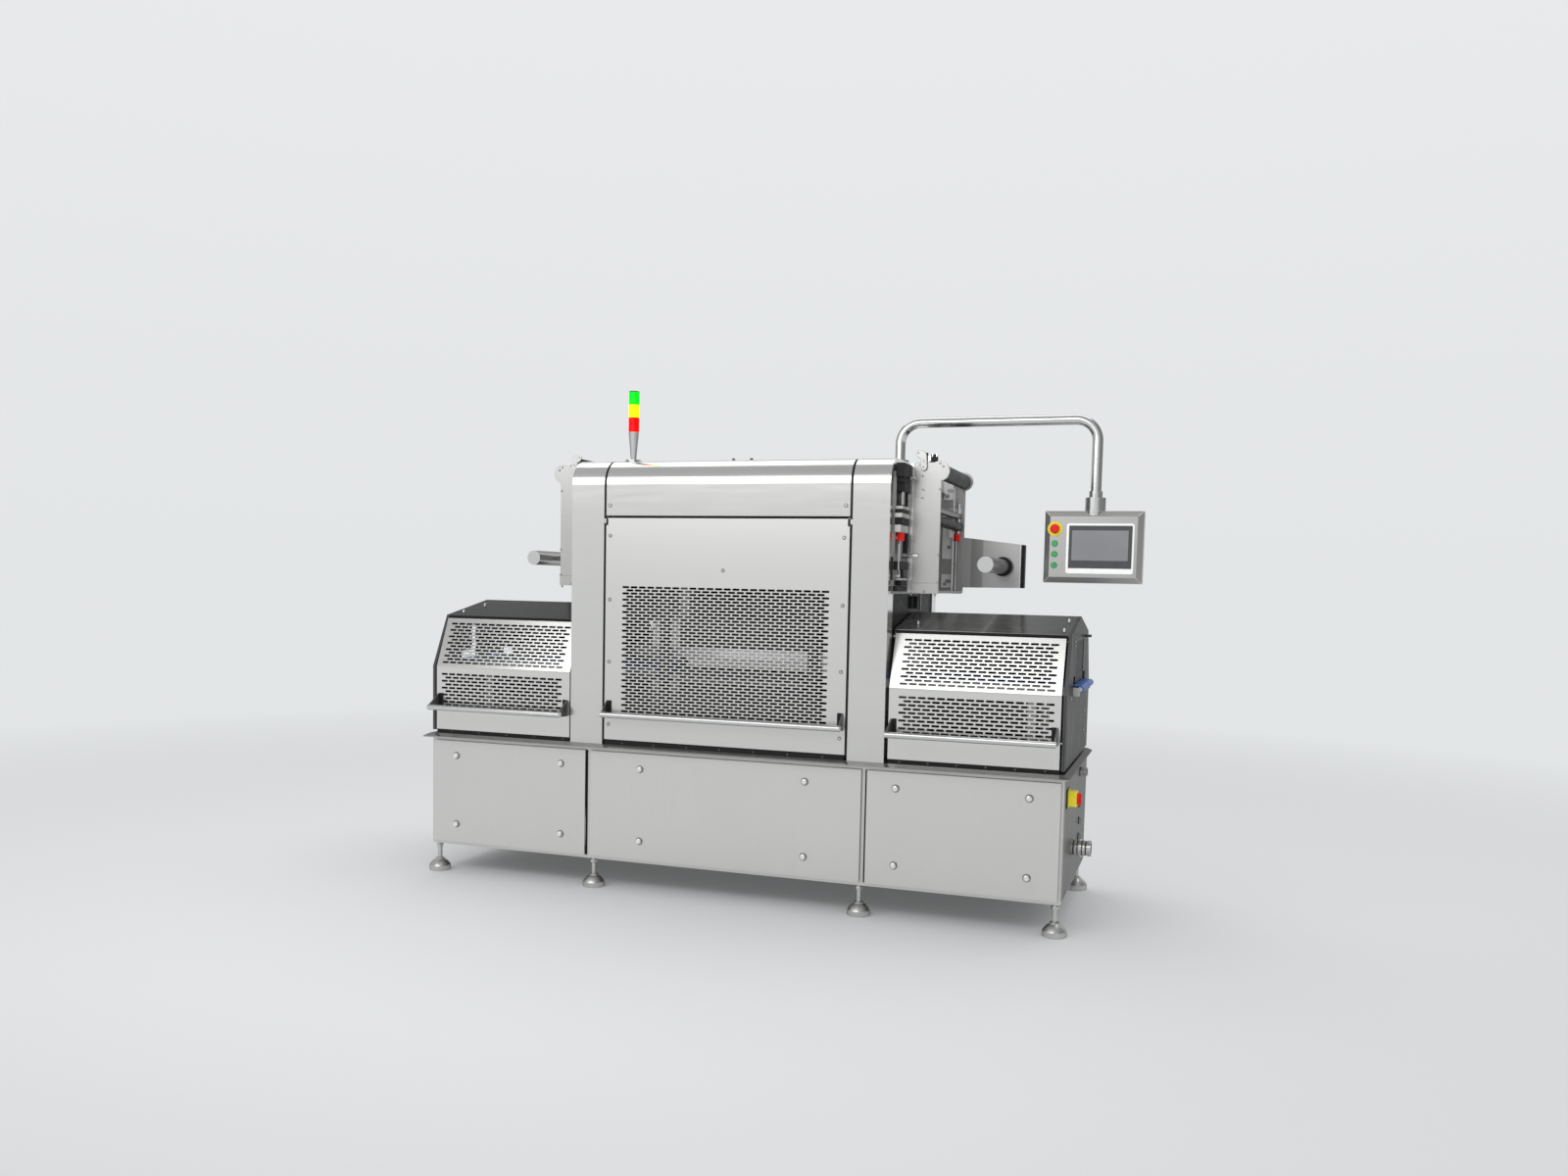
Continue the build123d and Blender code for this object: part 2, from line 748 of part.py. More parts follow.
for name, side in sides.items():
    # Front guard: a bent sheet with folded edges, hinged at its top
    with BuildPart() as guard:
        with BuildSketch(end_plane(along_x(side, guard_inner))):
            outline(guard_band(0, guard_depth, 0))
        extrude(amount=side * (guard_outer - guard_inner))
        with BuildSketch(end_plane(along_x(side, guard_inner + guard_end_rim))):
            outline(guard_band(guard_sheet, guard_depth + cut_over, guard_edge_rim))
        extrude(amount=side * (guard_outer - guard_inner - 2 * guard_end_rim), mode=Mode.SUBTRACT)
        for start, way in ((guard_inner, side), (guard_outer, -side)):
            with BuildSketch(end_plane(along_x(side, start))):
                with Locations((guard_pin_y, guard_pin_z)):
                    Circle(hinge_pin_radius + pin_clearance)
            extrude(amount=way * (pin_reach + end_clearance), mode=Mode.SUBTRACT)
    save(guard.part, f"{name}_guard")

    # Rear guard: the same section at the back, fixed between wall and hood
    with BuildPart() as rear_guard:
        with BuildSketch(end_plane(along_x(side, hood_half))):
            outline(mirrored(guard_band(0, guard_depth, 0)))
        extrude(amount=side * (wall_inner - hood_half))
        with BuildSketch(end_plane(along_x(side, hood_half + guard_end_rim))):
            outline(mirrored(guard_band(guard_sheet, guard_depth + cut_over, guard_edge_rim)))
        extrude(amount=side * (wall_inner - hood_half - 2 * guard_end_rim), mode=Mode.SUBTRACT)
    save(rear_guard.part, f"{name}_rear_guard")

    # End wall: a gabled plate with the tray mouth, a slot for the belt and a foot flange
    wall_points = [
        (guard_front, plinth_top), (guard_front, guard_bend), (guard_front + roof_edge_run, roof_edge),
        (y_mid, roof_ridge)]
    with BuildPart() as end_wall:
        with BuildSketch(end_plane(along_x(side, wall_inner))):
            outline(wall_points + mirrored(wall_points[:-1])[::-1])
            with Locations((y_mid, (mouth_bottom + mouth_top) / 2)):
                Rectangle(2 * mouth_half_width, mouth_top - mouth_bottom, mode=Mode.SUBTRACT)
            with Locations((y_mid, (belt_slot_bottom + mouth_bottom) / 2)):
                Rectangle(2 * belt_slot_half_width, mouth_bottom - belt_slot_bottom, mode=Mode.SUBTRACT)
        extrude(amount=side * tunnel_wall)
        flange_y = (guard_front + wall_flange_setback, 2 * y_mid - guard_front - wall_flange_setback)
        flange_x = (along_x(side, wall_inner), along_x(side, wall_inner - wall_flange_width))
        add(slab(flange_x, flange_y, (plinth_top, plinth_top + wall_flange_thickness)))
        with BuildSketch(end_plane(along_x(side, wall_inner))):
            with Locations((guard_pin_y, guard_pin_z)):
                Circle(hinge_pin_radius)
        extrude(amount=-side * (guard_outer_gap + pin_reach))
        with BuildSketch(end_plane(along_x(side, wall_outer))):
            with Locations((y_mid + stop_peg_offset, roof_edge - stop_peg_drop)):
                Circle(stop_peg_radius)
        extrude(amount=side * stop_peg_length)
    save(end_wall.part, f"{name}_end_wall")

    # Roof: a gabled sheet from the wall to the hood, with an ear for the guard's inner pin
    ear_x = along_x(side, guard_inner - ear_side_clearance)
    with BuildPart() as roof:
        roof_outer = [(guard_front + roof_edge_run, roof_edge), (y_mid, roof_ridge)]
        roof_inner = [(y, z - roof_thickness) for y, z in roof_outer]
        with BuildSketch(end_plane(along_x(side, hood_half))):
            outline(roof_outer + mirrored(roof_outer[:1]) + mirrored(roof_inner[:1]) + roof_inner[::-1])
        extrude(amount=side * (wall_inner - hood_half))
        with BuildSketch(end_plane(ear_x)):
            with Locations((guard_pin_y, guard_pin_z)):
                Circle(ear_radius)
            edge_y, edge_z = roof_outer[0]
            outline([
                (guard_pin_y, guard_pin_z - ear_radius), (guard_pin_y + ear_radius, guard_pin_z),
                (edge_y + ear_root, edge_z), (edge_y + ear_edge, edge_z - roof_thickness / 2)])
        extrude(amount=-side * ear_thickness)
        with BuildSketch(end_plane(ear_x)):
            with Locations((guard_pin_y, guard_pin_z)):
                Circle(hinge_pin_radius)
        extrude(amount=side * (ear_side_clearance + pin_reach))
    save(roof.part, f"{name}_roof")


def handle(x_span, y_face, reach, height):
    """A tube in front of a guard with a gusset plate at each end."""
    x0, x1 = x_span
    y_tube = y_face - reach
    with BuildPart() as bar:
        with BuildSketch(end_plane(x0)):
            with Locations((y_tube, height)):
                Circle(handle_radius)
        extrude(amount=x1 - x0)
        for start in (x0, x1 - bracket_thickness):
            with BuildSketch(end_plane(start)):
                outline([
                    (y_tube, height - handle_radius + bracket_trim),
                    (y_tube, height + handle_radius - bracket_trim),
                    (y_face, height + bracket_rise), (y_face, height - bracket_drop)])
            extrude(amount=bracket_thickness)
    return bar.part


for name, side in sides.items():
    reach_in = along_x(side, guard_inner + handle_end_inset)
    reach_out = along_x(side, guard_outer - handle_end_inset)
    bar = handle(sorted((reach_in, reach_out)), guard_front, handle_reach, guard_bottom + handle_rise)
    save(bar, f"{name}_handle")

middle_ends = (x_mid - cover_half + handle_end_inset, x_mid + cover_half - handle_end_inset)
middle_bar = handle(middle_ends, hood_front, middle_handle_reach, middle_guard_bottom + middle_handle_rise)
save(middle_bar, "middle_handle")


# Conveyors: a bed on legs, and a belt round it with a small nose at the wall
belt_half = belt_width / 2
belt_axis = belt_top - belt_thickness - nose_radius
tail_axis = belt_top - belt_thickness - tail_radius


def belt_loop(nose_x, tail_x, grow):
    """The outline round the nose and tail rollers, grown by the belt's thickness."""
    with BuildSketch() as loop:
        with Locations((nose_x, belt_axis)):
            Circle(nose_radius + grow)
        with Locations((tail_x, tail_axis)):
            Circle(tail_radius + grow)
        make_hull()
    return loop.sketch


for name, side in sides.items():
    nose_x = along_x(side, base_length / 2 + belt_reach - nose_radius - belt_thickness)
    tail_x = along_x(side, belt_inner_end + tail_radius + belt_thickness)
    with BuildPart() as belt:
        with BuildSketch(front_plane(y_mid - belt_half)):
            add(belt_loop(nose_x, tail_x, belt_thickness))
            add(belt_loop(nose_x, tail_x, 0), mode=Mode.SUBTRACT)
        extrude(amount=-belt_width)
    save(belt.part, f"{name}_belt")

    bed_half = belt_half + bed_clearance + bed_wall
    leg_place = wall_outer - bed_leg_inset
    leg_x = (along_x(side, leg_place), along_x(side, leg_place - bed_leg_width))
    with BuildPart() as bed:
        bed_x = (nose_x, tail_x)
        bed_z = (belt_top - bed_drop - bed_depth, belt_top - bed_drop)
        for wall_y in (y_mid - bed_half, y_mid + bed_half - bed_wall):
            add(slab(bed_x, (wall_y, wall_y + bed_wall), bed_z))
            add(slab(leg_x, (wall_y, wall_y + bed_wall), (plinth_top, bed_z[0])))
        with BuildSketch(front_plane(y_mid - bed_half + bed_wall)):
            for x, z, radius in ((nose_x, belt_axis, nose_radius), (tail_x, tail_axis, tail_radius)):
                with Locations((x, z)):
                    Circle(radius - belt_clearance)
        extrude(amount=-(2 * bed_half - 2 * bed_wall))
    save(bed.part, f"{name}_conveyor_bed")


# Sealing press: columns and crossheads, with the two tools and the lifting cylinder
with BuildPart() as press_frame:
    with BuildSketch(Plane.XY.offset(plinth_top)):
        with Locations((x_mid, y_mid)):
            with GridLocations(2 * press_column_offset_x, 2 * press_column_offset_y, 2, 2):
                Circle(press_column_radius)
    extrude(amount=upper_crosshead - plinth_top)
    for level in (lower_crosshead, upper_crosshead):
        with BuildSketch(Plane.XY.offset(level)):
            with Locations((x_mid, y_mid)):
                RectangleRounded(2 * crosshead_half_x, 2 * crosshead_half_y, crosshead_corner)
        extrude(amount=crosshead_thickness)
    with BuildSketch(Plane.XY.offset(upper_crosshead + crosshead_thickness)):
        with Locations((x_mid, y_mid)):
            Circle(cylinder_radius)
    extrude(amount=cylinder_height)
save(press_frame.part, "press_frame")

with BuildPart() as lower_tool:
    with BuildSketch(Plane.XY.offset(lower_crosshead + crosshead_thickness)):
        with Locations((x_mid, y_mid)):
            RectangleRounded(2 * tool_half_x, 2 * tool_half_y, tool_corner)
    extrude(amount=lower_tool_top - lower_crosshead - crosshead_thickness)
save(lower_tool.part, "lower_tool")

with BuildPart() as upper_tool:
    with BuildSketch(Plane.XY.offset(upper_tool_bottom)):
        with Locations((x_mid, y_mid)):
            RectangleRounded(2 * tool_half_x, 2 * tool_half_y, tool_corner)
    extrude(amount=upper_tool_top - upper_tool_bottom)
    with BuildSketch(Plane.XY.offset(upper_tool_top)):
        with Locations((x_mid, y_mid)):
            Circle(ram_radius)
    extrude(amount=upper_crosshead - upper_tool_top)
save(upper_tool.part, "upper_tool")


# Film units: plates, rollers, adjusters and a cantilever shaft at each end of the hood
plate_inner = hood_half + film_plate_inner
plate_outer = plate_inner + film_plate_width
plate_mid = (plate_inner + plate_outer) / 2
lobe_x = plate_outer - lobe_inset
lobe_z = film_plate_top - lobe_drop
mount_face = hood_half + mount_plate_thickness
film_front = y_mid - film_half_span
film_back = y_mid + film_half_span
inside_front = film_front + film_plate_thickness
inside_back = film_back - film_plate_thickness
arm_tip = plate_outer + arm_reach
arm_root_bottom = film_plate_bottom + arm_root_rise
arm_root_top = arm_root_bottom + arm_root_height
arm_tip_bottom = film_plate_bottom + arm_tip_rise
arm_tip_top = arm_tip_bottom + arm_tip_height
stand_off_levels = (film_plate_bottom + stand_off_low_rise, film_plate_top - stand_off_high_drop)
light_roller_height = lobe_z - light_roller_drop
dark_roller_height = light_roller_height - dark_roller_drop
mount_plate_bottom = film_plate_bottom - mount_plate_below
mount_plate_top = hood_top - mount_plate_drop
cap_top = film_plate_bottom + cap_rise
front_adjuster_y = hood_front + front_adjuster_inset
front_adjuster_bottom = film_plate_bottom + front_adjuster_rise
shaft_distance = plate_outer + shaft_reach


def film_plate(side, y_face):
    """One side plate with its round lobe and stand-offs, from y_face back."""
    with BuildPart() as plate:
        with BuildSketch(front_plane(y_face)):
            with Locations((along_x(side, plate_mid), (film_plate_bottom + film_plate_top) / 2)):
                RectangleRounded(film_plate_width, film_plate_top - film_plate_bottom, film_plate_corner)
            with Locations((along_x(side, lobe_x), lobe_z)):
                Circle(lobe_radius)
            for level in stand_off_levels:
                with Locations((along_x(side, (mount_face + plate_inner + film_plate_corner) / 2), level)):
                    Rectangle(plate_inner + film_plate_corner - mount_face, stand_off_height)
            with Locations((along_x(side, lobe_x), lobe_z)):
                Circle(journal_radius + pin_clearance, mode=Mode.SUBTRACT)
        extrude(amount=-film_plate_thickness)
    return plate.part


for name, side in sides.items():
    # Mounting plate across the hood's open end, above the guard roof
    with BuildPart() as film_mount:
        with BuildSketch(end_plane(along_x(side, hood_half))):
            with Locations((y_mid, (mount_plate_bottom + mount_plate_top) / 2)):
                half = y_mid - hood_front - mount_plate_inset
                Rectangle(2 * half, mount_plate_top - mount_plate_bottom)
        extrude(amount=side * mount_plate_thickness)
    save(film_mount.part, f"{name}_film_mount")

    # Front side plate with its hook, and an adjusting spindle through it
    with BuildPart() as front_plate:
        add(film_plate(side, film_front))
        hook_x = plate_inner + hook_reach
        hook_low = film_plate_top - hook_drop + hook_radius
        hook_high = film_plate_top + hook_rise - hook_radius
        with BuildSketch(front_plane(film_front)):
            with Locations((along_x(side, hook_x), (hook_low + hook_high) / 2)):
                SlotCenterToCenter(hook_high - hook_low, 2 * hook_radius, rotation=90)
            with Locations((along_x(side, hook_x - hook_reach / 2), hook_high)):
                SlotCenterToCenter(hook_reach, 2 * hook_radius)
        extrude(amount=hook_thickness)
        with BuildSketch(end_plane(along_x(side, mount_face))):
            with Locations((film_front + film_plate_thickness / 2, film_plate_bottom + spindle_rise)):
                Circle(spindle_radius)
        extrude(amount=side * (plate_inner + spindle_reach - mount_face))
    save(front_plate.part, f"{name}_film_front_plate")

    # Rear side plate with the tapered arm that carries the film shaft
    with BuildPart() as rear_plate:
        add(film_plate(side, inside_back))
        with BuildSketch(front_plane(film_back)):
            outline([
                (along_x(side, plate_inner), arm_root_bottom), (along_x(side, plate_outer), arm_root_bottom),
                (along_x(side, arm_tip), arm_tip_bottom), (along_x(side, arm_tip), arm_tip_top),
                (along_x(side, plate_outer), arm_root_top), (along_x(side, plate_inner), arm_root_top)])
            with Locations((along_x(side, shaft_distance), shaft_height)):
                Circle(spigot_radius + pin_clearance, mode=Mode.SUBTRACT)
        extrude(amount=-arm_depth)
    save(rear_plate.part, f"{name}_film_rear_plate")

    # Fixed rollers and the bottom bar between the side plates, and adjusting rods with
    # round caps: one on the bottom bar, one on lugs of the mounting plate
    rail_x = along_x(side, plate_outer - fixed_roller_inset)
    rod_x = along_x(side, plate_outer - rear_adjuster_inset)
    rod_y = inside_back - rear_adjuster_setback
    rod_foot = film_plate_bottom + bottom_bar_thickness + bottom_bar_rise
    front_rod_x = mount_face + front_adjuster_offset
    rods = ((rod_x, rod_y, rod_foot), (along_x(side, front_rod_x), front_adjuster_y, front_adjuster_bottom))
    with BuildPart() as film_guides:
        with BuildSketch(front_plane(inside_front)):
            with Locations((rail_x, light_roller_height)):
                Circle(light_roller_radius)
            with Locations((rail_x, dark_roller_height)):
                Circle(dark_roller_radius)
            with Locations((along_x(side, plate_inner + tie_inset), stand_off_levels[1])):
                Circle(tie_radius)
            with Locations((rail_x, film_plate_bottom + bottom_bar_thickness / 2 + bottom_bar_rise)):
                Rectangle(bottom_bar_width, bottom_bar_thickness)
        extrude(amount=-(inside_back - inside_front))
        for x, y, foot_level in rods:
            with BuildSketch(Plane.XY.offset(foot_level)):
                with Locations((x, y)):
                    Circle(adjuster_radius)
            extrude(amount=cap_top - foot_level)
            with BuildSketch(Plane.XY.offset(cap_top - cap_length)):
                with Locations((x, y)):
                    Circle(cap_radius)
            extrude(amount=cap_length)
        for level in (front_adjuster_bottom, cap_top - cap_length - 2 * lug_thickness):
            lug_x = (along_x(side, mount_face), along_x(side, front_rod_x + adjuster_radius + lug_overhang))
            lug_y = (front_adjuster_y - cap_radius, front_adjuster_y + cap_radius)
            add(slab(lug_x, lug_y, (level, level + lug_thickness)))
    save(film_guides.part, f"{name}_film_guides")

    # Guide roller on journals in the lobes
    with BuildPart() as guide_roller:
        with BuildSketch(front_plane(inside_front + roller_end_gap)):
            with Locations((along_x(side, lobe_x), lobe_z)):
                Circle(roller_radius)
        extrude(amount=-(inside_back - inside_front - 2 * roller_end_gap))
        with BuildSketch(front_plane(film_front + journal_inset)):
            with Locations((along_x(side, lobe_x), lobe_z)):
                Circle(journal_radius)
        extrude(amount=-(film_back - film_front - 2 * journal_inset))
    save(guide_roller.part, f"{name}_guide_roller")

    # Film shaft: a cantilever tube with a collar, turning in the arm
    shaft_front = film_back - shaft_side_clearance - shaft_length
    with BuildPart() as film_shaft:
        for start, length, radius in (
                (shaft_front, shaft_length, shaft_radius),
                (film_back - shaft_side_clearance - collar_length, collar_length, collar_radius),
                (film_back - shaft_side_clearance, shaft_side_clearance + arm_depth, spigot_radius)):
            with BuildSketch(front_plane(start)):
                with Locations((along_x(side, shaft_distance), shaft_height)):
                    Circle(radius)
            extrude(amount=-length)
    save(film_shaft.part, f"{name}_film_shaft")


# Air regulators on the outfeed mounting plate
with BuildPart() as air_regulators:
    for rise in (regulator_low_rise, regulator_high_rise):
        with BuildSketch(Plane.XY.offset(film_plate_bottom + rise)):
            with Locations((along_x(1, mount_face + regulator_radius), film_front - regulator_setout)):
                Circle(regulator_radius)
        extrude(amount=regulator_length)
save(air_regulators.part, "air_regulators")


# Tower lamp: flange and flared stem, then three stacked lamps
tower_y = hood_front + tower_setback
tower_place = (x_mid - tower_x, tower_y)
stem_levels = (hood_top, hood_top + tower_flange_height, hood_top + tower_stem_height)
with BuildPart() as tower_stem:
    with BuildSketch(Plane.XZ.offset(-tower_y)):
        with BuildLine():
            Polyline(
                (x_mid - tower_x, stem_levels[0]),
                (x_mid - tower_x + tower_flange_radius, stem_levels[0]),
                (x_mid - tower_x + tower_flange_radius, stem_levels[1]),
                (x_mid - tower_x + tower_stem_radius, stem_levels[1]),
                (x_mid - tower_x + tower_neck_radius, stem_levels[2]),
                (x_mid - tower_x, stem_levels[2]), close=True)
        make_face()
    revolve(axis=Axis((x_mid - tower_x, tower_y, 0), (0, 0, 1)))
save(tower_stem.part, "tower_stem")

lamp_heights = (red_lamp_height, lamp_height, lamp_height)
with BuildPart() as tower_lamps:
    with BuildSketch(Plane.XY.offset(stem_levels[2])):
        with Locations(tower_place):
            Circle(lamp_radius - lamp_groove_depth)
    extrude(amount=sum(lamp_heights))
    lamp_level = stem_levels[2]
    for height in lamp_heights:
        with BuildSketch(Plane.XY.offset(lamp_level + lamp_groove)):
            with Locations(tower_place):
                Circle(lamp_radius)
        extrude(amount=height - lamp_groove)
        lamp_level += height
    with BuildSketch(Plane.XY.offset(lamp_level)):
        with Locations(tower_place):
            Circle(lamp_radius - lamp_groove_depth)
    extrude(amount=lamp_cap_height)
save(tower_lamps.part, "tower_lamps")


# Boom: a bent tube that swivels on a socket on the hood's roof
boom_x = along_x(1, hood_half - column_width / 2)
boom_foot = hood_top + socket_height + boom_bottom_gap
panel_x = boom_x + boom_reach
collar_bottom = panel_top + pin_clearance
collar_top = collar_bottom + collar_wide_height + collar_narrow_height
with BuildPart() as boom_socket:
    with BuildSketch(Plane.XY.offset(hood_top)):
        with Locations((boom_x, y_mid)):
            Circle(socket_radius)
    extrude(amount=socket_height)
    with BuildSketch(Plane.XY.offset(hood_top + socket_height)):
        with Locations((boom_x, y_mid)):
            Circle(boom_spigot_radius)
    extrude(amount=boom_spigot_length)
save(boom_socket.part, "boom_socket")

with BuildPart() as boom:
    with BuildLine(Plane.XZ.offset(-y_mid)) as boom_path:
        FilletPolyline(
            (boom_x, boom_foot), (boom_x, boom_height), (panel_x, boom_height), (panel_x, collar_top),
            radius=boom_bend)
    with BuildSketch(Plane.XY.offset(boom_foot)):
        with Locations((boom_x, y_mid)):
            Circle(boom_radius)
    sweep(path=boom_path.wires()[0])
    with BuildSketch(Plane.XY.offset(boom_foot)):
        with Locations((boom_x, y_mid)):
            Circle(boom_spigot_radius + pin_clearance)
    extrude(amount=boom_spigot_length, mode=Mode.SUBTRACT)
    with BuildSketch(Plane.XY.offset(collar_bottom)):
        with Locations((panel_x, y_mid)):
            Circle(collar_wide_radius)
    extrude(amount=collar_wide_height)
    with BuildSketch(Plane.XY.offset(collar_bottom + collar_wide_height)):
        with Locations((panel_x, y_mid)):
            Circle(collar_narrow_radius)
    extrude(amount=collar_narrow_height)
    with BuildSketch(Plane.XY.offset(collar_bottom)):
        with Locations((panel_x, y_mid)):
            Circle(panel_pin_radius + pin_clearance)
    extrude(amount=panel_pin_length + end_clearance, mode=Mode.SUBTRACT)
save(boom.part, "boom")


# Operator panel: a bevelled housing on a swivel pin, with a screen and buttons
panel_middle_z = panel_top - panel_height / 2
panel_front = y_mid - panel_front_offset
button_x = panel_x - button_column
stop_z = panel_middle_z + stop_height
ring_face = panel_front - stop_ring_proud
with BuildPart() as panel_housing:
    with BuildSketch(front_plane(panel_front + panel_bevel_depth)):
        with Locations((panel_x, panel_middle_z)):
            Rectangle(panel_width, panel_height)
    extrude(amount=-(panel_depth - panel_bevel_depth))
    with BuildSketch(front_plane(panel_front + panel_bevel_depth)):
        with Locations((panel_x, panel_middle_z)):
            Rectangle(panel_width, panel_height)
    with BuildSketch(front_plane(panel_front)):
        with Locations((panel_x, panel_middle_z)):
            Rectangle(panel_width - 2 * panel_bevel, panel_height - 2 * panel_bevel)
    loft()
    with BuildSketch(Plane.XY.offset(panel_top)):
        with Locations((panel_x, y_mid)):
            Circle(panel_pin_radius)
    extrude(amount=panel_pin_length)
    with BuildSketch(front_plane(panel_front)):
        with Locations((button_x, stop_z)):
            Circle(stop_ring_radius)
    extrude(amount=stop_ring_proud)
    with BuildSketch(front_plane(ring_face)):
        with Locations((button_x, stop_z)):
            Circle(stop_stem_radius + pin_clearance)
    extrude(amount=-(stop_stem_length + button_travel + end_clearance), mode=Mode.SUBTRACT)
    with BuildSketch(front_plane(panel_front)):
        with Locations(*[(button_x, panel_middle_z + height) for height in green_heights]):
            Circle(green_radius + green_clearance)
    extrude(amount=-(green_well_depth + button_travel + end_clearance), mode=Mode.SUBTRACT)
save(panel_housing.part, "panel_housing")

with BuildPart() as panel_screen:
    with BuildSketch(front_plane(panel_front)):
        with Locations((panel_x + screen_offset_x, panel_middle_z + screen_offset_z)):
            RectangleRounded(screen_width, screen_height, screen_corner)
    extrude(amount=screen_frame_proud)
save(panel_screen.part, "panel_screen")

with BuildPart() as emergency_stop:
    with BuildSketch(front_plane(ring_face + stop_stem_length)):
        with Locations((button_x, stop_z)):
            Circle(stop_stem_radius)
    extrude(amount=stop_stem_length + button_travel + end_clearance)
    with BuildSketch(front_plane(ring_face - button_travel - end_clearance)):
        with Locations((button_x, stop_z)):
            Circle(stop_radius)
    extrude(amount=stop_cap_height)
    chamfer(faces().sort_by(Axis.Y)[0].edges(), stop_edge)
save(emergency_stop.part, "emergency_stop")

for name, height in zip(("start", "stop", "reset"), green_heights):
    with BuildPart() as button:
        with BuildSketch(front_plane(panel_front + green_well_depth)):
            with Locations((button_x, panel_middle_z + height)):
                Circle(green_radius)
        extrude(amount=green_well_depth + green_proud)
    save(button.part, f"{name}_button")
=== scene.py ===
"""Tray sealer: slotted guards, fittings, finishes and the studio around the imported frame.

Pieces are modelled in millimetres, in the machine's own frame, and settled in metres.
"""

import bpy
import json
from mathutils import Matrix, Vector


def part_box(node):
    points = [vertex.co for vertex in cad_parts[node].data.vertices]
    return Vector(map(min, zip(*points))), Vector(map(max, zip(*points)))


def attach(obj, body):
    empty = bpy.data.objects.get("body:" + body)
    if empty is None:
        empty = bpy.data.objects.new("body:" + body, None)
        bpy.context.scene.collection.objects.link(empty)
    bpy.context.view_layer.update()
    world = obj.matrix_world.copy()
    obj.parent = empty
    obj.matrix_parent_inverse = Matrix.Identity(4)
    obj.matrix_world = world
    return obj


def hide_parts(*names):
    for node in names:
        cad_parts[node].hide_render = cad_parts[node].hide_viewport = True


bl_info = {
    "name": "Tray sealer",
    "version": (1, 0, 0),
    "blender": (4, 5, 0),
    "location": "View3D > Sidebar > Tray sealer",
    "description": "Dresses a tray sealer with slotted guards, fittings, finishes and a studio",
    "category": "Object",
}

import json
import math

import bmesh
import bpy
from bpy.props import FloatProperty, FloatVectorProperty, IntProperty, PointerProperty
from mathutils import Matrix, Vector

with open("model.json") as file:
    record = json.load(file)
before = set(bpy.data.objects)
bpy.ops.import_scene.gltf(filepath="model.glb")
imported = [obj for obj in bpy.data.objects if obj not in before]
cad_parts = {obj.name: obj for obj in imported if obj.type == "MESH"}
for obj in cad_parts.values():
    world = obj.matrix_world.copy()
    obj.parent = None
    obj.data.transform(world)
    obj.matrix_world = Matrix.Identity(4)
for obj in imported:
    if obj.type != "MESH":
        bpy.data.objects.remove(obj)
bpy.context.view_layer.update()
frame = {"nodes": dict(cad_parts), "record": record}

MM = 0.001
HALF_EIGHTH = math.radians(22.5)
CREASE = math.radians(20.0)
FRONT, BACK, UP, RIGHT, LEFT = (0, -1, 0), (0, 1, 0), (0, 0, 1), (1, 0, 0), (-1, 0, 0)


def span(node):
    """The lowest and highest corner of a CAD node, in millimetres."""
    low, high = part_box(node)
    return low / MM, high / MM


low_hood, high_hood = span("infeed_hood_arch")
far_hood = span("outfeed_hood_arch")[1]
x_mid = (low_hood.x + far_hood.x) / 2
y_mid = (low_hood.y + high_hood.y) / 2
hood_front = low_hood.y
hood_rear = 2 * y_mid - hood_front
hood_top = high_hood.z
hood_half = far_hood.x - x_mid
side_signs = {"infeed": -1, "outfeed": 1}


# ---------------------------------------------------------------- settings

def length_setting(label, text, value):
    """A length that a user may change, in metres."""
    return FloatProperty(name=label, description=text, default=value, min=0.0, subtype="DISTANCE", unit="LENGTH")


def count_setting(label, text, value):
    """A number of slots or rows that a user may change."""
    return IntProperty(name=label, description=text, default=value, min=2)


def power_setting(label, text, value):
    """A lamp's power that a user may change, in watts."""
    return FloatProperty(name=label, description=text, default=value, unit="POWER")


def colour_setting(label, text, value):
    """A colour that a user may change."""
    return FloatVectorProperty(
        name=label, description=text, default=value, min=0.0, max=1.0, size=3, subtype="COLOR")


class SealerGuardSettings(bpy.types.PropertyGroup):
    """Sizes of the slotted sheet in the guards."""
    slot_length: length_setting("Slot length", "Length of one slot", 0.0362)
    slot_height: length_setting("Slot height", "Height of one slot", 0.0102)
    slot_pitch: length_setting("Slot pitch", "Distance between slots along a row", 0.0437)
    middle_rise: length_setting("Middle row pitch", "Distance between rows in the middle guard", 0.015)
    side_rise: length_setting("Side row pitch", "Distance between rows in the side guards", 0.0176)
    sheet: length_setting("Sheet", "Thickness of the folded sheet", 0.002)
    middle_columns: count_setting("Middle columns", "Slots in a long row", 24)
    middle_rows: count_setting("Middle rows", "Rows in the middle guard", 41)
    side_columns: count_setting("Side columns", "Slots in a long row", 16)
    upright_rows: count_setting("Upright rows", "Rows in a side guard's front", 11)
    slant_rows: count_setting("Slanted rows", "Rows in a side guard's slant", 13)


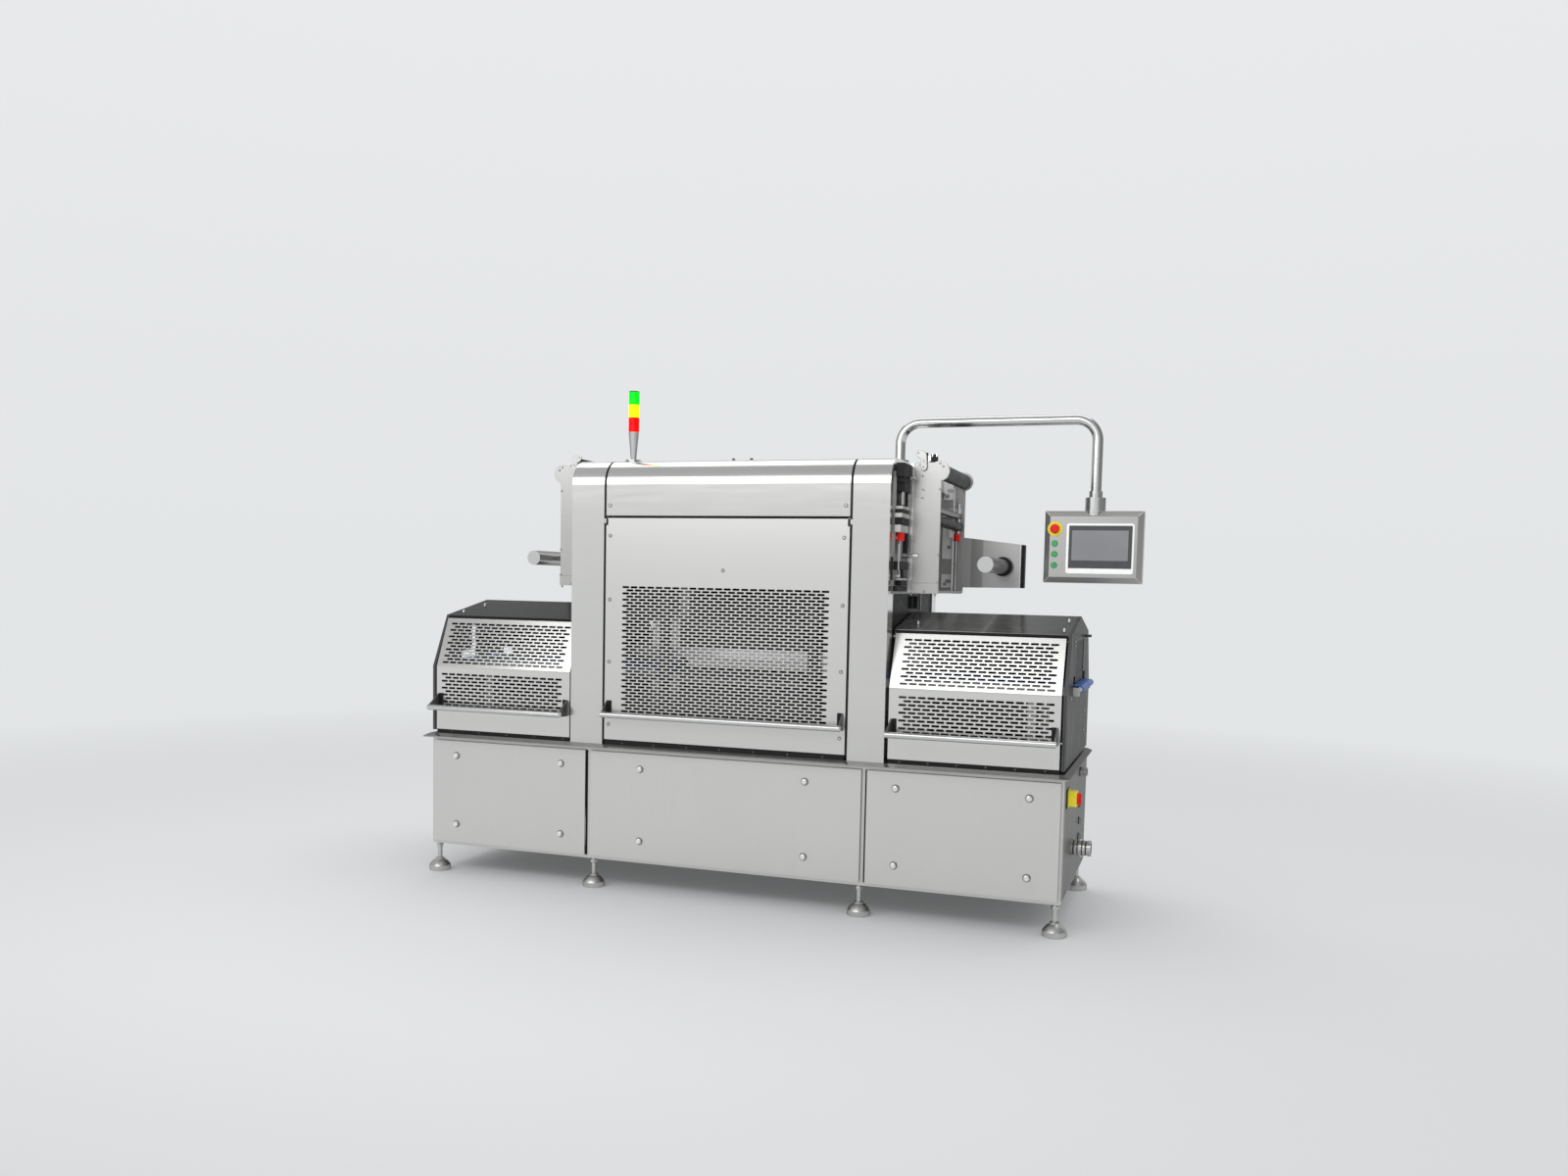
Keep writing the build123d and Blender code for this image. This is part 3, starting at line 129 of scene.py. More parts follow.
class SealerFinishSettings(bpy.types.PropertyGroup):
    """Colours of the machine's finishes."""
    steel: colour_setting("Steel", "Brushed stainless sheet", (0.70, 0.695, 0.675))
    tube: colour_setting("Tube", "Polished stainless tube", (0.66, 0.66, 0.65))
    # Painted shade: the cabinet's end sheet is a darker copy of the fronts' steel
    shaded_end_steel: colour_setting("Shaded end steel", "Sheet on the cabinet's ends, darkened as painted shade", (0.45, 0.45, 0.435))
    # Painted reflection: the roofs and end walls are darkened for the dark room they would mirror
    tunnel_steel: colour_setting("Tunnel steel", "Roofs and end walls, darkened as a painted reflection of a dark room", (0.16, 0.16, 0.157))
    gusset: colour_setting("Gusset", "Brackets of the handles", (0.17, 0.17, 0.168))
    black: colour_setting("Black", "Rubber seams and moulded fittings", (0.010, 0.010, 0.011))
    belt: colour_setting("Belt", "Blue food-safe belt", (0.008, 0.10, 0.46))
    yellow: colour_setting("Yellow", "Yellow moulded fittings", (1.0, 0.86, 0.03))
    red: colour_setting("Red", "Red moulded fittings", (0.85, 0.02, 0.015))
    green: colour_setting("Green", "Green push buttons", (0.06, 0.42, 0.12))
    lamp_green: colour_setting("Green lamp", "Top lens of the tower", (0.0, 0.85, 0.01))
    lamp_yellow: colour_setting("Yellow lamp", "Middle lens of the tower", (1.0, 0.95, 0.0))
    lamp_red: colour_setting("Red lamp", "Bottom lens of the tower", (0.95, 0.0, 0.0))


class SealerStudioSettings(bpy.types.PropertyGroup):
    """The studio around the machine."""
    backdrop: colour_setting("Backdrop", "Pale background at eye level", (0.765, 0.782, 0.791))
    upper: colour_setting("Upper backdrop", "Pale background above the machine", (0.81, 0.825, 0.842))
    overhead: colour_setting("Overhead", "Tone of the room straight overhead", (0.40, 0.41, 0.42))
    side: colour_setting("Side", "Tone of the room to the left and right, in reflections", (0.14, 0.14, 0.145))
    floor: colour_setting("Floor", "Pale floor near the machine", (0.715, 0.729, 0.738))
    front_power: power_setting("Front lamp", "Power of the front softbox", 60.0)
    top_power: power_setting("Top lamp", "Power of the top softbox", 122.0)
    ambient: FloatProperty(name="Ambient", description="Level of the room's own light", default=0.75, min=0.0)
    focal_length: FloatProperty(name="Focal length", description="Camera lens, in millimetres", default=28.47)


# ---------------------------------------------------------------- modelling tools

def eased(part, ease):
    """The part with its edges eased."""
    if ease:
        bmesh.ops.bevel(
            part, geom=part.edges[:], offset=ease, offset_type="OFFSET", affect="EDGES",
            segments=2, profile=0.5, material=-1)
    return part


def block(first, second, ease=0.0):
    """A block between two opposite corners, with eased edges."""
    low, high = (Vector([pick(pair) for pair in zip(first, second)]) for pick in (min, max))
    part = bmesh.new()
    bmesh.ops.create_cube(part, size=1.0)
    bmesh.ops.scale(part, vec=high - low, verts=part.verts)
    bmesh.ops.translate(part, vec=(low + high) / 2, verts=part.verts)
    return eased(part, ease)


def turned(profile, sides=24):
    """A turned part: a profile of radius and height spun round the Z axis."""
    part = bmesh.new()
    points = [part.verts.new((radius, 0, height)) for radius, height in profile]
    line = [part.edges.new(pair) for pair in zip(points, points[1:])]
    bmesh.ops.spin(
        part, geom=points + line, cent=(0, 0, 0), axis=UP, angle=2 * math.pi, steps=sides, use_merge=True)
    bmesh.ops.remove_doubles(part, verts=part.verts, dist=0.01)
    bmesh.ops.recalc_face_normals(part, faces=part.faces)
    return part


def rod(radius, length, sides=20, ease=0.5):
    """A round bar along Z from the origin, with eased ends."""
    return turned(
        ((0, 0), (radius - ease, 0), (radius, ease), (radius, length - ease), (radius - ease, length), (0, length)),
        sides)


def plate(points, depth, ease=0.0):
    """A plate through points in X and Z, from Y 0 back to its depth."""
    part = bmesh.new()
    face = part.faces.new([part.verts.new((x, 0, z)) for x, z in points])
    grown = bmesh.ops.extrude_face_region(part, geom=[face])["geom"]
    bmesh.ops.translate(part, vec=(0, depth, 0), verts=of_type(grown, bmesh.types.BMVert))
    bmesh.ops.recalc_face_normals(part, faces=part.faces)
    return eased(part, ease)


def of_type(items, kind):
    """The items of one kind, such as the vertices that an operator made."""
    return [item for item in items if isinstance(item, kind)]


def screw_head(radius=6.6):
    """A round-headed screw on its washer, standing along Z."""
    return turned((
        (radius, 0), (radius, 1.0), (0.8 * radius, 1.0), (0.78 * radius, 2.6), (0.5 * radius, 4.0),
        (0.22 * radius, 4.2), (0.2 * radius, 3.2), (0, 3.2)), 20)


def ring(inner, outer, height, ease=1):
    """A ring along Z from the origin, open through its middle."""
    return turned((
        (inner, 0), (outer - ease, 0), (outer, ease), (outer, height - ease), (outer - ease, height),
        (inner, height)), 32)


def facing(point, direction=FRONT):
    """A placement whose own Z points in the direction."""
    return Matrix.Translation(point) @ Vector(direction).to_track_quat("Z", "Y").to_matrix().to_4x4()


def moved(*point):
    """A placement that only moves a part."""
    return Matrix.Translation(point)


def add(target, part, finish=0, *places):
    """Join copies of a part to another one, in one of its finishes."""
    for face in part.faces:
        face.material_index = finish
    mesh = bpy.data.meshes.new("part")
    for place in places or (Matrix(),):
        part.to_mesh(mesh)
        mesh.transform(place)
        target.from_mesh(mesh)
    bpy.data.meshes.remove(mesh)
    part.free()


def settle(name, part, body, slot, kinds, *stands_for):
    """Make a finished part a piece that rides on a body of the machine."""
    bmesh.ops.scale(part, vec=(MM, MM, MM), verts=part.verts)
    for face in part.faces:
        face.smooth = True
    for edge in part.edges:
        edge.smooth = edge.calc_face_angle(0.0) < CREASE
    mesh = bpy.data.meshes.new(name)
    part.to_mesh(mesh)
    part.free()
    for kind in kinds:
        mesh.materials.append(finishes[kind])
    piece = bpy.data.objects.new(name, mesh)
    bpy.context.scene.collection.objects.link(piece)
    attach(piece, body)
    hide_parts(*stands_for)


# ---------------------------------------------------------------- nodes of a finish

def feed(tree, target, values):
    """Link a node's inputs to sockets, or set them to values."""
    for key, value in values.items():
        if isinstance(value, bpy.types.NodeSocket):
            tree.links.new(value, target.inputs[key])
        else:
            target.inputs[key].default_value = value
    return target


def node(tree, kind, values=None, **traits):
    """A shader node of a kind, with its traits and its inputs."""
    made = tree.nodes.new("ShaderNode" + kind)
    for trait, value in traits.items():
        setattr(made, trait, value)
    return feed(tree, made, values or {})


def new_finish(name):
    """A material with its tree, its shader and the object's own coordinates."""
    finish = bpy.data.materials.new(name)
    finish.use_nodes = True
    tree = finish.node_tree
    return finish, tree, tree.nodes["Principled BSDF"], node(tree, "TexCoord").outputs["Object"]


def stretched(tree, source, scale=(1.0, 1.0, 1.0), detail=3.0, size=1.0):
    """A noise pattern stretched along the axes."""
    mapping = node(tree, "Mapping", {"Vector": source, "Scale": scale})
    return node(tree, "TexNoise", {
        "Vector": mapping.outputs["Vector"], "Scale": size, "Detail": detail}).outputs["Fac"]


def ranged(tree, factor, low, high, start=0.3, end=0.7):
    """A value that runs between two levels as the pattern does."""
    return node(tree, "MapRange", {
        "Value": factor, "From Min": start, "From Max": end, "To Min": low, "To Max": high}).outputs["Result"]


def tinted(tree, factor, first, second, blend="MIX"):
    """A colour between two others, chosen by a factor."""
    first, second = (
        tone if isinstance(tone, bpy.types.NodeSocket) else (*tone, 1.0) for tone in (first, second))
    return node(
        tree, "Mix", {"Factor": factor, "A": first, "B": second},
        data_type="RGBA", blend_type=blend).outputs["Result"]


def bumped(tree, height, strength, distance):
    """The normal of a finish with fine relief."""
    return node(tree, "Bump", {"Height": height, "Strength": strength, "Distance": distance}).outputs["Normal"]


def ramped(tree, factor, stops):
    """A colour that runs through stops of place and colour."""
    ramp = node(tree, "ValToRGB", {"Fac": factor})
    elements = ramp.color_ramp.elements
    elements[0].position, elements[1].position = stops[0][0], stops[-1][0]
    for place, _ in stops[1:-1]:
        elements.new(place)
    for element, (_, colour) in zip(elements, stops):
        element.color = (*colour, 1.0)
    return ramp.outputs["Color"]


def calculated(tree, operation, *factors):
    """The outcome of a sum on one or two values."""
    return node(tree, "Math", dict(enumerate(factors)), operation=operation).outputs[0]


def axis_of(tree, source, axis):
    """One axis of a vector."""
    return node(tree, "SeparateXYZ", {"Vector": source}).outputs[axis]


def shaded(colour, share):
    """A darker or lighter tone of a colour."""
    return tuple(min(1.0, channel * share) for channel in colour)


def clouded(tree, pattern, colour, dark, light):
    """A colour that drifts between a darker and a lighter tone as the pattern does."""
    return tinted(tree, ranged(tree, pattern, 0.0, 1.0), shaded(colour, dark), shaded(colour, light))


# ---------------------------------------------------------------- finishes

# How many brushed lines a metre holds along each axis: few along the grain
LENGTHWISE = (3.0, 900.0, 900.0)
UPRIGHT = (900.0, 900.0, 3.0)
DRAWN = (3.0, 700.0, 700.0)
COARSE = (300.0, 300.0, 3.0)
FINE_RELIEF = 0.0003


def brushed_steel(
        name, colour, grain=LENGTHWISE, roughness=0.34, metallic=0.85, spread=0.02, edge=1.0, relief=0.05):
    """Brushed stainless steel: fine lines one way, soft smudges and a little uneven gloss."""
    finish, tree, shader, source = new_finish(name)
    streaks = stretched(tree, source, [min(reach, 45.0) for reach in grain])
    smudges = stretched(tree, source, size=1.6, detail=2.0)
    base = clouded(tree, smudges, colour, 1.0 - spread, 1.0 + spread)
    feed(tree, shader, {
        "Base Color": tinted(tree, ranged(tree, streaks, 0.0, 0.5), base, shaded(colour, 1.0 - 1.5 * spread)),
        "Roughness": ranged(tree, streaks, roughness - spread, roughness + 2 * spread),
        "Metallic": metallic, "Specular Tint": (edge, edge, edge, 1.0),
        "Normal": bumped(tree, stretched(tree, source, grain, detail=2.0), relief, FINE_RELIEF)})
    return finish


def moulded_plastic(name, colour, roughness=0.38, relief=0.15, coat=0.0, shine=0.5):
    """Moulded plastic with a fine stippled skin and slight tone changes."""
    finish, tree, shader, source = new_finish(name)
    cloud = stretched(tree, source, size=30.0)
    feed(tree, shader, {
        "Base Color": clouded(tree, cloud, colour, 0.9, 1.08),
        "Roughness": ranged(tree, cloud, roughness - 0.05, roughness + 0.08),
        "Coat Weight": coat, "Specular IOR Level": shine,
        "Normal": bumped(tree, stretched(tree, source, size=420.0, detail=2.0), relief, FINE_RELIEF)})
    return finish


def lens_plastic(name, colour):
    """A ribbed signal lens that glows in its own colour."""
    finish, tree, shader, source = new_finish(name)
    ribs = node(
        tree, "TexWave", {"Vector": source, "Scale": 60.0, "Distortion": 0.0},
        wave_type="BANDS", bands_direction="Z").outputs["Fac"]
    tone = tinted(tree, ranged(tree, ribs, 0.0, 1.0, 0.0, 1.0), shaded(colour, 0.88), colour)
    feed(tree, shader, {
        "Base Color": tone, "Emission Color": tone, "Emission Strength": 0.75, "Roughness": 0.22,
        "Specular IOR Level": 0.15, "Normal": bumped(tree, ribs, 0.25, 0.0008)})
    return finish


def woven_belt(name, colour):
    """A blue conveyor belt with a fine diamond grip and rubbed patches."""
    finish, tree, shader, source = new_finish(name)
    grip = node(
        tree, "TexVoronoi", {"Vector": source, "Scale": 160.0, "Randomness": 0.15},
        feature="DISTANCE_TO_EDGE").outputs["Distance"]
    rubbed = stretched(tree, source, (0.6, 5.0, 5.0), size=3.0, detail=5.0)
    feed(tree, shader, {
        "Base Color": clouded(tree, rubbed, colour, 0.8, 1.25), "Roughness": ranged(tree, rubbed, 0.38, 0.55),
        "Normal": bumped(tree, ranged(tree, grip, 0.0, 1.0, 0.0, 0.12), 0.3, 0.0005)})
    return finish


def screen_glass(name, colour):
    """Dark display glass with a faint tone change and a smooth coat."""
    finish, tree, shader, source = new_finish(name)
    haze = stretched(tree, source, (1.0, 1.0, 1.6), size=4.0, detail=1.0)
    feed(tree, shader, {
        "Base Color": clouded(tree, haze, colour, 0.93, 1.07), "Roughness": ranged(tree, haze, 0.28, 0.34),
        "Coat Weight": 0.3, "Coat Roughness": 0.1})
    return finish


def reskinned(finish, change):
    """Pass a finish's base colour through a change."""
    tree = finish.node_tree
    skin = tree.nodes["Principled BSDF"].inputs["Base Color"]
    tree.links.new(change(tree, skin.links[0].from_socket), skin)


def toned(finish, pattern, stops):
    """Weigh a finish's colour by a pattern that runs through stops of place and tone."""
    reskinned(finish, lambda tree, skin: tinted(
        tree, 1.0, skin, ramped(tree, pattern(tree), [(place, (tone,) * 3) for place, tone in stops]), "MULTIPLY"))


def paint_inner_shade(finish):
    """Paint shade on the faces that look to the front, on sheet at the back that is seen from inside."""
    def from_behind(tree):
        normal = node(tree, "NewGeometry").outputs["Normal"]
        return ranged(tree, axis_of(tree, normal, "Y"), 0.0, 1.0, -0.5, -0.2)

    toned(finish, from_behind, ((0.0, 0.06), (1.0, 1.0)))


def along(tree, axis="X"):
    """A finish's place along an axis of the machine, in metres."""
    return axis_of(tree, tree.nodes["Texture Coordinate"].outputs["Object"], axis)


def banded(finish, low, high, stops, axis="X"):
    """Tone a finish by the place along an axis, between two places in millimetres."""
    toned(finish, lambda tree: ranged(tree, along(tree, axis), 0.0, 1.0, low * MM, high * MM), stops)


# The finish of each of the machine's slots, and of the nodes that differ from their slot
SLOT_FINISHES = {
    "frame_steel": "frame", "panel_steel": "sheet", "tunnel_steel": "tunnel", "guard_steel": "guard",
    "handle_steel": "tube", "foot_steel": "foot", "film_steel": "film", "guide_steel": "tube",
    "roller_grey": "roller", "plinth_black": "black", "belt_blue": "belt", "fitting_black": "black",
    "lamp_plastic": "lamp_red", "switch_yellow": "switch", "signal_red": "red", "button_green": "green",
    "panel_grey": "panel", "screen_glass": "glass",
}
NODE_FINISHES = {
    "deck": "deck", "top_cover": "cover", "rear_cover": "back_sheet", "tower_stem": "tube", "exhaust_port": "tube",
    "press_frame": "inside", "lower_tool": "inside", "upper_tool": "inside", "outfeed_roof": "tunnel_out",
}
# Parts that both the infeed and the outfeed side have
SIDE_FINISHES = {
    "hood_arch": "cover", "cabinet_end": "end", "end_wall": "end_wall", "rear_guard": "back_guard",
    "film_mount": "film_mount", "film_rear_plate": "arm", "film_shaft": "tube",
}

# Painted light and reflections: tones along the sheets that stand in for the bright and dark parts of a room mirrored
# in them, and for the shade on the side guards' slant
GUARD_BANDS = ((0.0, 1.0), (1.0, 0.78))
ROOF_BANDS = (
    (0.0, 0.8), (0.115, 0.85), (0.155, 1.0), (0.175, 0.8), (0.412, 0.75), (0.502, 0.7), (0.512, 1.0),
    (0.542, 0.55), (1.0, 0.4))
RAIL_BANDS = ((0.0, 0.3), (0.22, 0.32), (0.36, 0.6), (0.46, 1.0), (0.62, 0.9), (1.0, 0.5))
ARM_BANDS = ((0.0, 0.55), (0.28, 0.55), (0.29, 0.36), (0.43, 0.4), (0.44, 0.6), (0.7, 0.62), (1.0, 0.66))

finishes = {}


class SEALER_OT_finishes(bpy.types.Operator):
    """Make the machine's finishes and give them to the CAD nodes"""
    bl_idname = "sealer.finishes"
    bl_label = "Finishes"

    def execute(self, context):
        tones = context.scene.sealer_finishes
        steel, dark = tuple(tones.steel), tuple(tones.tunnel_steel)

        def metal(kind, name, colour=steel, tone=1.0, **look):
            finishes[kind] = brushed_steel(name, shaded(colour, tone), **look)

        def plastic(kind, name, colour, **look):
            finishes[kind] = moulded_plastic(name, colour, **look)

        metal("sheet", "Brushed sheet", grain=UPRIGHT, spread=0.012)
        metal("cover", "Brushed cover", roughness=0.17)
        metal("guard", "Guard sheet", roughness=0.3, spread=0.006, relief=0.004)
        metal("side_guard", "Side guard sheet", tone=1.05, roughness=0.2, spread=0.008, relief=0.006)
        # Painted shade: near-black steel for the press frame, the tools and the slotted guards' inner skin and slot
        # walls
        metal("inside", "Shaded inner steel", tone=0.035, grain=COARSE, roughness=0.45, metallic=0.5)
        metal("back_sheet", "Rear cover sheet", grain=UPRIGHT)
        metal("back_guard", "Rear guard sheet", roughness=0.3, spread=0.006, relief=0.004)
        metal("frame", "Frame tube", tone=0.95, grain=(3.0, 500.0, 500.0), roughness=0.38)
        metal("deck", "Deck sheet", tone=0.62, grain=DRAWN, roughness=0.2, edge=0.12)
        metal("tube", "Polished tube", tones.tube, grain=DRAWN, roughness=0.17, metallic=0.95, edge=0.3)
        # Painted shade: the cabinet's ends are darker than the fronts
        metal("end", "End sheet", tones.shaded_end_steel, grain=UPRIGHT, roughness=0.36, spread=0.06, edge=0.3)
        # Painted reflection: the roofs' and end walls' sheet is darkened for the dark room it would mirror
        metal("tunnel", "Tunnel sheet", dark, grain=DRAWN, roughness=0.19, spread=0.05, edge=0.25, relief=0.02)
        metal("tunnel_out", "Mirroring tunnel sheet", dark, 4.2, grain=DRAWN, roughness=0.19, spread=0.05,
              edge=0.25, relief=0.01)
        metal("end_wall", "End wall sheet", dark, 0.6, metallic=0.6, grain=UPRIGHT, roughness=0.32, spread=0.05,
              edge=0.2)
        metal("rail", "Polished rail", (0.99, 0.99, 0.985), roughness=0.4, metallic=0.3)
        metal("film", "Film plate", tone=0.74, grain=UPRIGHT, roughness=0.3)
        metal("film_dark", "Film rear plate", tone=0.66, roughness=0.22, spread=0.03, metallic=0.6)
        metal("film_mount", "Film mounting plate", tone=0.45, grain=UPRIGHT)
        metal("arm", "Film arm sheet", (0.9, 0.895, 0.88), roughness=0.42, metallic=0.7)
        metal("gusset", "Bracket steel", tones.gusset, grain=COARSE, roughness=0.42)
        metal("foot", "Turned foot", tone=0.9, grain=(40.0, 40.0, 900.0), roughness=0.27, metallic=0.9, edge=0.4)
        metal("bright", "Bright trim", (0.9, 0.9, 0.89), grain=(200.0, 200.0, 200.0), roughness=0.28)
        metal("panel", "Panel sheet", tone=0.72, roughness=0.3)
        plastic("roller", "Dark roller", (0.012, 0.012, 0.013), roughness=0.42, relief=0.02, shine=0.1)
        plastic("black", "Black rubber", tones.black, roughness=0.5, shine=0.25)
        plastic("red", "Red plastic", tones.red, shine=0.25)
        plastic("yellow", "Yellow plastic", tones.yellow, coat=0.2)
        plastic("green", "Green plastic", tones.green, coat=0.3)
        plastic("white", "White surround", (0.99, 0.99, 0.985), roughness=0.5)
        plastic("pale", "Pale inner plate", (0.95, 0.95, 0.94), roughness=0.4)
        plastic("bezel", "Dark bezel", (0.075, 0.078, 0.08), roughness=0.4)
        plastic("switch", "Switch housing", tones.black, roughness=0.4)
        finishes["belt"] = woven_belt("Blue belt", tones.belt)
        finishes["glass"] = screen_glass("Display glass", (0.29, 0.295, 0.31))
        for colour in ("green", "yellow", "red"):
            finishes[f"lamp_{colour}"] = lens_plastic(f"{colour.title()} lens", getattr(tones, f"lamp_{colour}"))
        # Painted light: the white surround glows a little though it is no lamp
        feed(finishes["white"].node_tree, finishes["white"].node_tree.nodes["Principled BSDF"], {
            "Emission Color": (1.0, 1.0, 1.0, 1.0), "Emission Strength": 0.18})

        # Painted shade on the inner faces of the rear cover and rear guard
        paint_inner_shade(finishes["back_sheet"])
        paint_inner_shade(finishes["back_guard"])
        # Painted shade: the side guards' sheet is darker above the bend
        banded(finishes["side_guard"], 1052, 1072, GUARD_BANDS, "Z")
        # Painted reflections: bright and dark bands along the outfeed roof
        banded(finishes["tunnel_out"], 2370, 3157, ROOF_BANDS)
        # Painted light: the rail is bright in the middle and darker towards its ends
        banded(finishes["rail"], 1000, 2150, RAIL_BANDS)
        # Painted reflections: darker and lighter zones along the film arm
        toned(finishes["arm"], lambda tree: ranged(
            tree, calculated(tree, "ABSOLUTE", calculated(tree, "SUBTRACT", along(tree), x_mid * MM)),
            0.0, 1.0, 0.9, 1.3), ARM_BANDS)
        # The switch block is black behind its yellow face plate
        plate_face = span("switch_block")[0].x * MM + 0.006
        reskinned(finishes["switch"], lambda tree, skin: tinted(
            tree, ranged(tree, along(tree), 0.0, 1.0, plate_face - 0.0002, plate_face + 0.0002), skin, tones.yellow))

        slot_of = {entry["node"]: entry["material_slot"] for entry in frame["record"]["subparts"]}
        for name, shape in frame["nodes"].items():
            kind = (NODE_FINISHES.get(name) or SIDE_FINISHES.get(name.partition("_")[2])
                    or SLOT_FINISHES[slot_of[name]])
            for place in shape.material_slots:
                place.material = finishes[kind]
        return {"FINISHED"}


# ---------------------------------------------------------------- slotted guards

def slot_cell(pitch, rise, length, height):
    """One cell of slotted sheet, flat in X and Y, with a rounded slot through it."""
    cell = bmesh.new()
    corners = ((-0.5, -0.5), (0, -0.5), (0.5, -0.5), (0.5, 0.5), (0, 0.5), (-0.5, 0.5))
    rim = [cell.verts.new((x * pitch, y * rise, 0)) for x, y in corners]
    for pair in zip(rim, rim[1:] + rim[:1]):
        cell.edges.new(pair)
    hole = bmesh.ops.create_circle(
        cell, segments=8, radius=height / 2 / math.cos(HALF_EIGHTH), matrix=Matrix.Rotation(HALF_EIGHTH, 4, "Z"))
    for end in (-1, 1):
        half = [vert for vert in hole["verts"] if vert.co.x * end > 0]
        bmesh.ops.translate(cell, vec=(end * (length - height) / 2, 0, 0), verts=half)
    bmesh.ops.triangle_fill(cell, use_beauty=True, use_dissolve=False, edges=cell.edges[:], normal=UP)
    return cell


def slotted_field(columns, rows, pitch, rise, length, height):
    """Staggered rows of slots, flat and centred, with plain half cells at the short rows' ends."""
    field = bmesh.new()
    for row in range(rows):
        count = columns - row % 2
        y = (row - (rows - 1) / 2) * rise
        places = [moved((column - (count - 1) / 2) * pitch, y, 0) for column in range(count)]
        add(field, slot_cell(pitch, rise, length, height), 0, *places)
        if row % 2:
            half_cell = bmesh.new()
            bmesh.ops.create_grid(half_cell, x_segments=1, y_segments=1, size=0.5)
            bmesh.ops.scale(half_cell, vec=(pitch / 2, rise, 1), verts=half_cell.verts)
            offset = (columns / 2 - 0.25) * pitch
            add(field, half_cell, 0, moved(-offset, y, 0), moved(offset, y, 0))
    bmesh.ops.remove_doubles(field, verts=field.verts, dist=0.01)
    return field


def slotted_panel(width, height, field, centre):
    """A flat panel from its lower left corner, with a slotted field at a centre."""
    bmesh.ops.translate(field, vec=(*centre, 0), verts=field.verts)
    limits = [
        (axis, pick(vert.co[axis] for vert in field.verts)) for axis in (0, 1) for pick in (min, max)]
    border = [
        edge for edge in field.edges if edge.is_boundary and any(
            all(abs(vert.co[axis] - limit) < 0.01 for vert in edge.verts) for axis, limit in limits)]
    rim = [field.verts.new((x, y, 0)) for x, y in ((0, 0), (width, 0), (width, height), (0, height))]
    border += [field.edges.new(pair) for pair in zip(rim, rim[1:] + rim[:1])]
    bmesh.ops.triangle_fill(field, use_beauty=True, use_dissolve=False, edges=border, normal=UP)
    return field


def folded_guard(x_low, x_high, line, panels, depth, returns, sheet):
    """A slotted sheet along a line of (Y, Z) points, folded back on all four sides and again inwards.

    Each panel between two points holds (field, centre along X, centre up the panel)."""
    guard = bmesh.new()
    width = x_high - x_low
    points = [Vector((0, y, z)) for y, z in line]
    for start, end, (field, centre_x, centre_up) in zip(points, points[1:], panels):
        rise = end - start
        flat = slotted_panel(width, rise.length, field, (centre_x - x_low, centre_up))
        up = rise.normalized()
        add(guard, flat, 0, Matrix((
            (1, 0, 0, x_low), (0, up.y, -up.z, start.y), (0, up.z, up.y, start.z), (0, 0, 0, 1))))
    bmesh.ops.remove_doubles(guard, verts=guard.verts, dist=0.01)

    def inward(place):
        """The way a folded edge goes at the start, a bend or the end of the line."""
        index = min(range(len(points)), key=lambda i: (points[i] - Vector((0, place.y, place.z))).length)
        ways = [
            (points[i + 1] - points[i]).normalized() for i in (index - 1, index) if 0 <= i < len(points) - 1]
        across = [Vector((0, way.z, -way.y)) for way in ways]
        total = sum(across, Vector())
        lengthways = Vector()
        if index == 0:
            lengthways = ways[0]
        elif index == len(points) - 1:
            lengthways = -ways[-1]
        return total / across[0].dot(total), lengthways

    def is_rim(edge):
        ends = [vert.co for vert in edge.verts]
        if any(all(abs(end.x - limit) < 0.01 for end in ends) for limit in (x_low, x_high)):
            return True
        return any(
            all(abs(end.z - point.z) < 0.01 and abs(end.y - point.y) < 0.01 for end in ends)
            for point in (points[0], points[-1]))

    rim = [edge for edge in guard.edges if edge.is_boundary and is_rim(edge)]
    for fold in ("back", "inside"):
        grown = bmesh.ops.extrude_edge_only(guard, edges=rim)["geom"]
        for vert in of_type(grown, bmesh.types.BMVert):
            across, lengthways = inward(vert.co)
            if fold == "back":
                vert.co += across * depth
            else:
                sideways = 1 if vert.co.x < (x_low + x_high) / 2 else -1
                vert.co += lengthways * returns[1] + Vector((sideways * returns[0], 0, 0))
        rim = [edge for edge in of_type(grown, bmesh.types.BMEdge) if edge.is_boundary]
    bmesh.ops.recalc_face_normals(guard, faces=guard.faces)
    front = min(guard.faces, key=lambda face: face.calc_center_median().y)
    if front.normal.y > 0:
        bmesh.ops.reverse_faces(guard, faces=guard.faces[:])
    # The sheet's other skin and its slot walls take the second finish, a near-black painted shade
    grown = bmesh.ops.solidify(guard, geom=guard.faces[:], thickness=sheet)["geom"]
    for face in of_type(grown, bmesh.types.BMFace):
        face.material_index = 1
    return guard


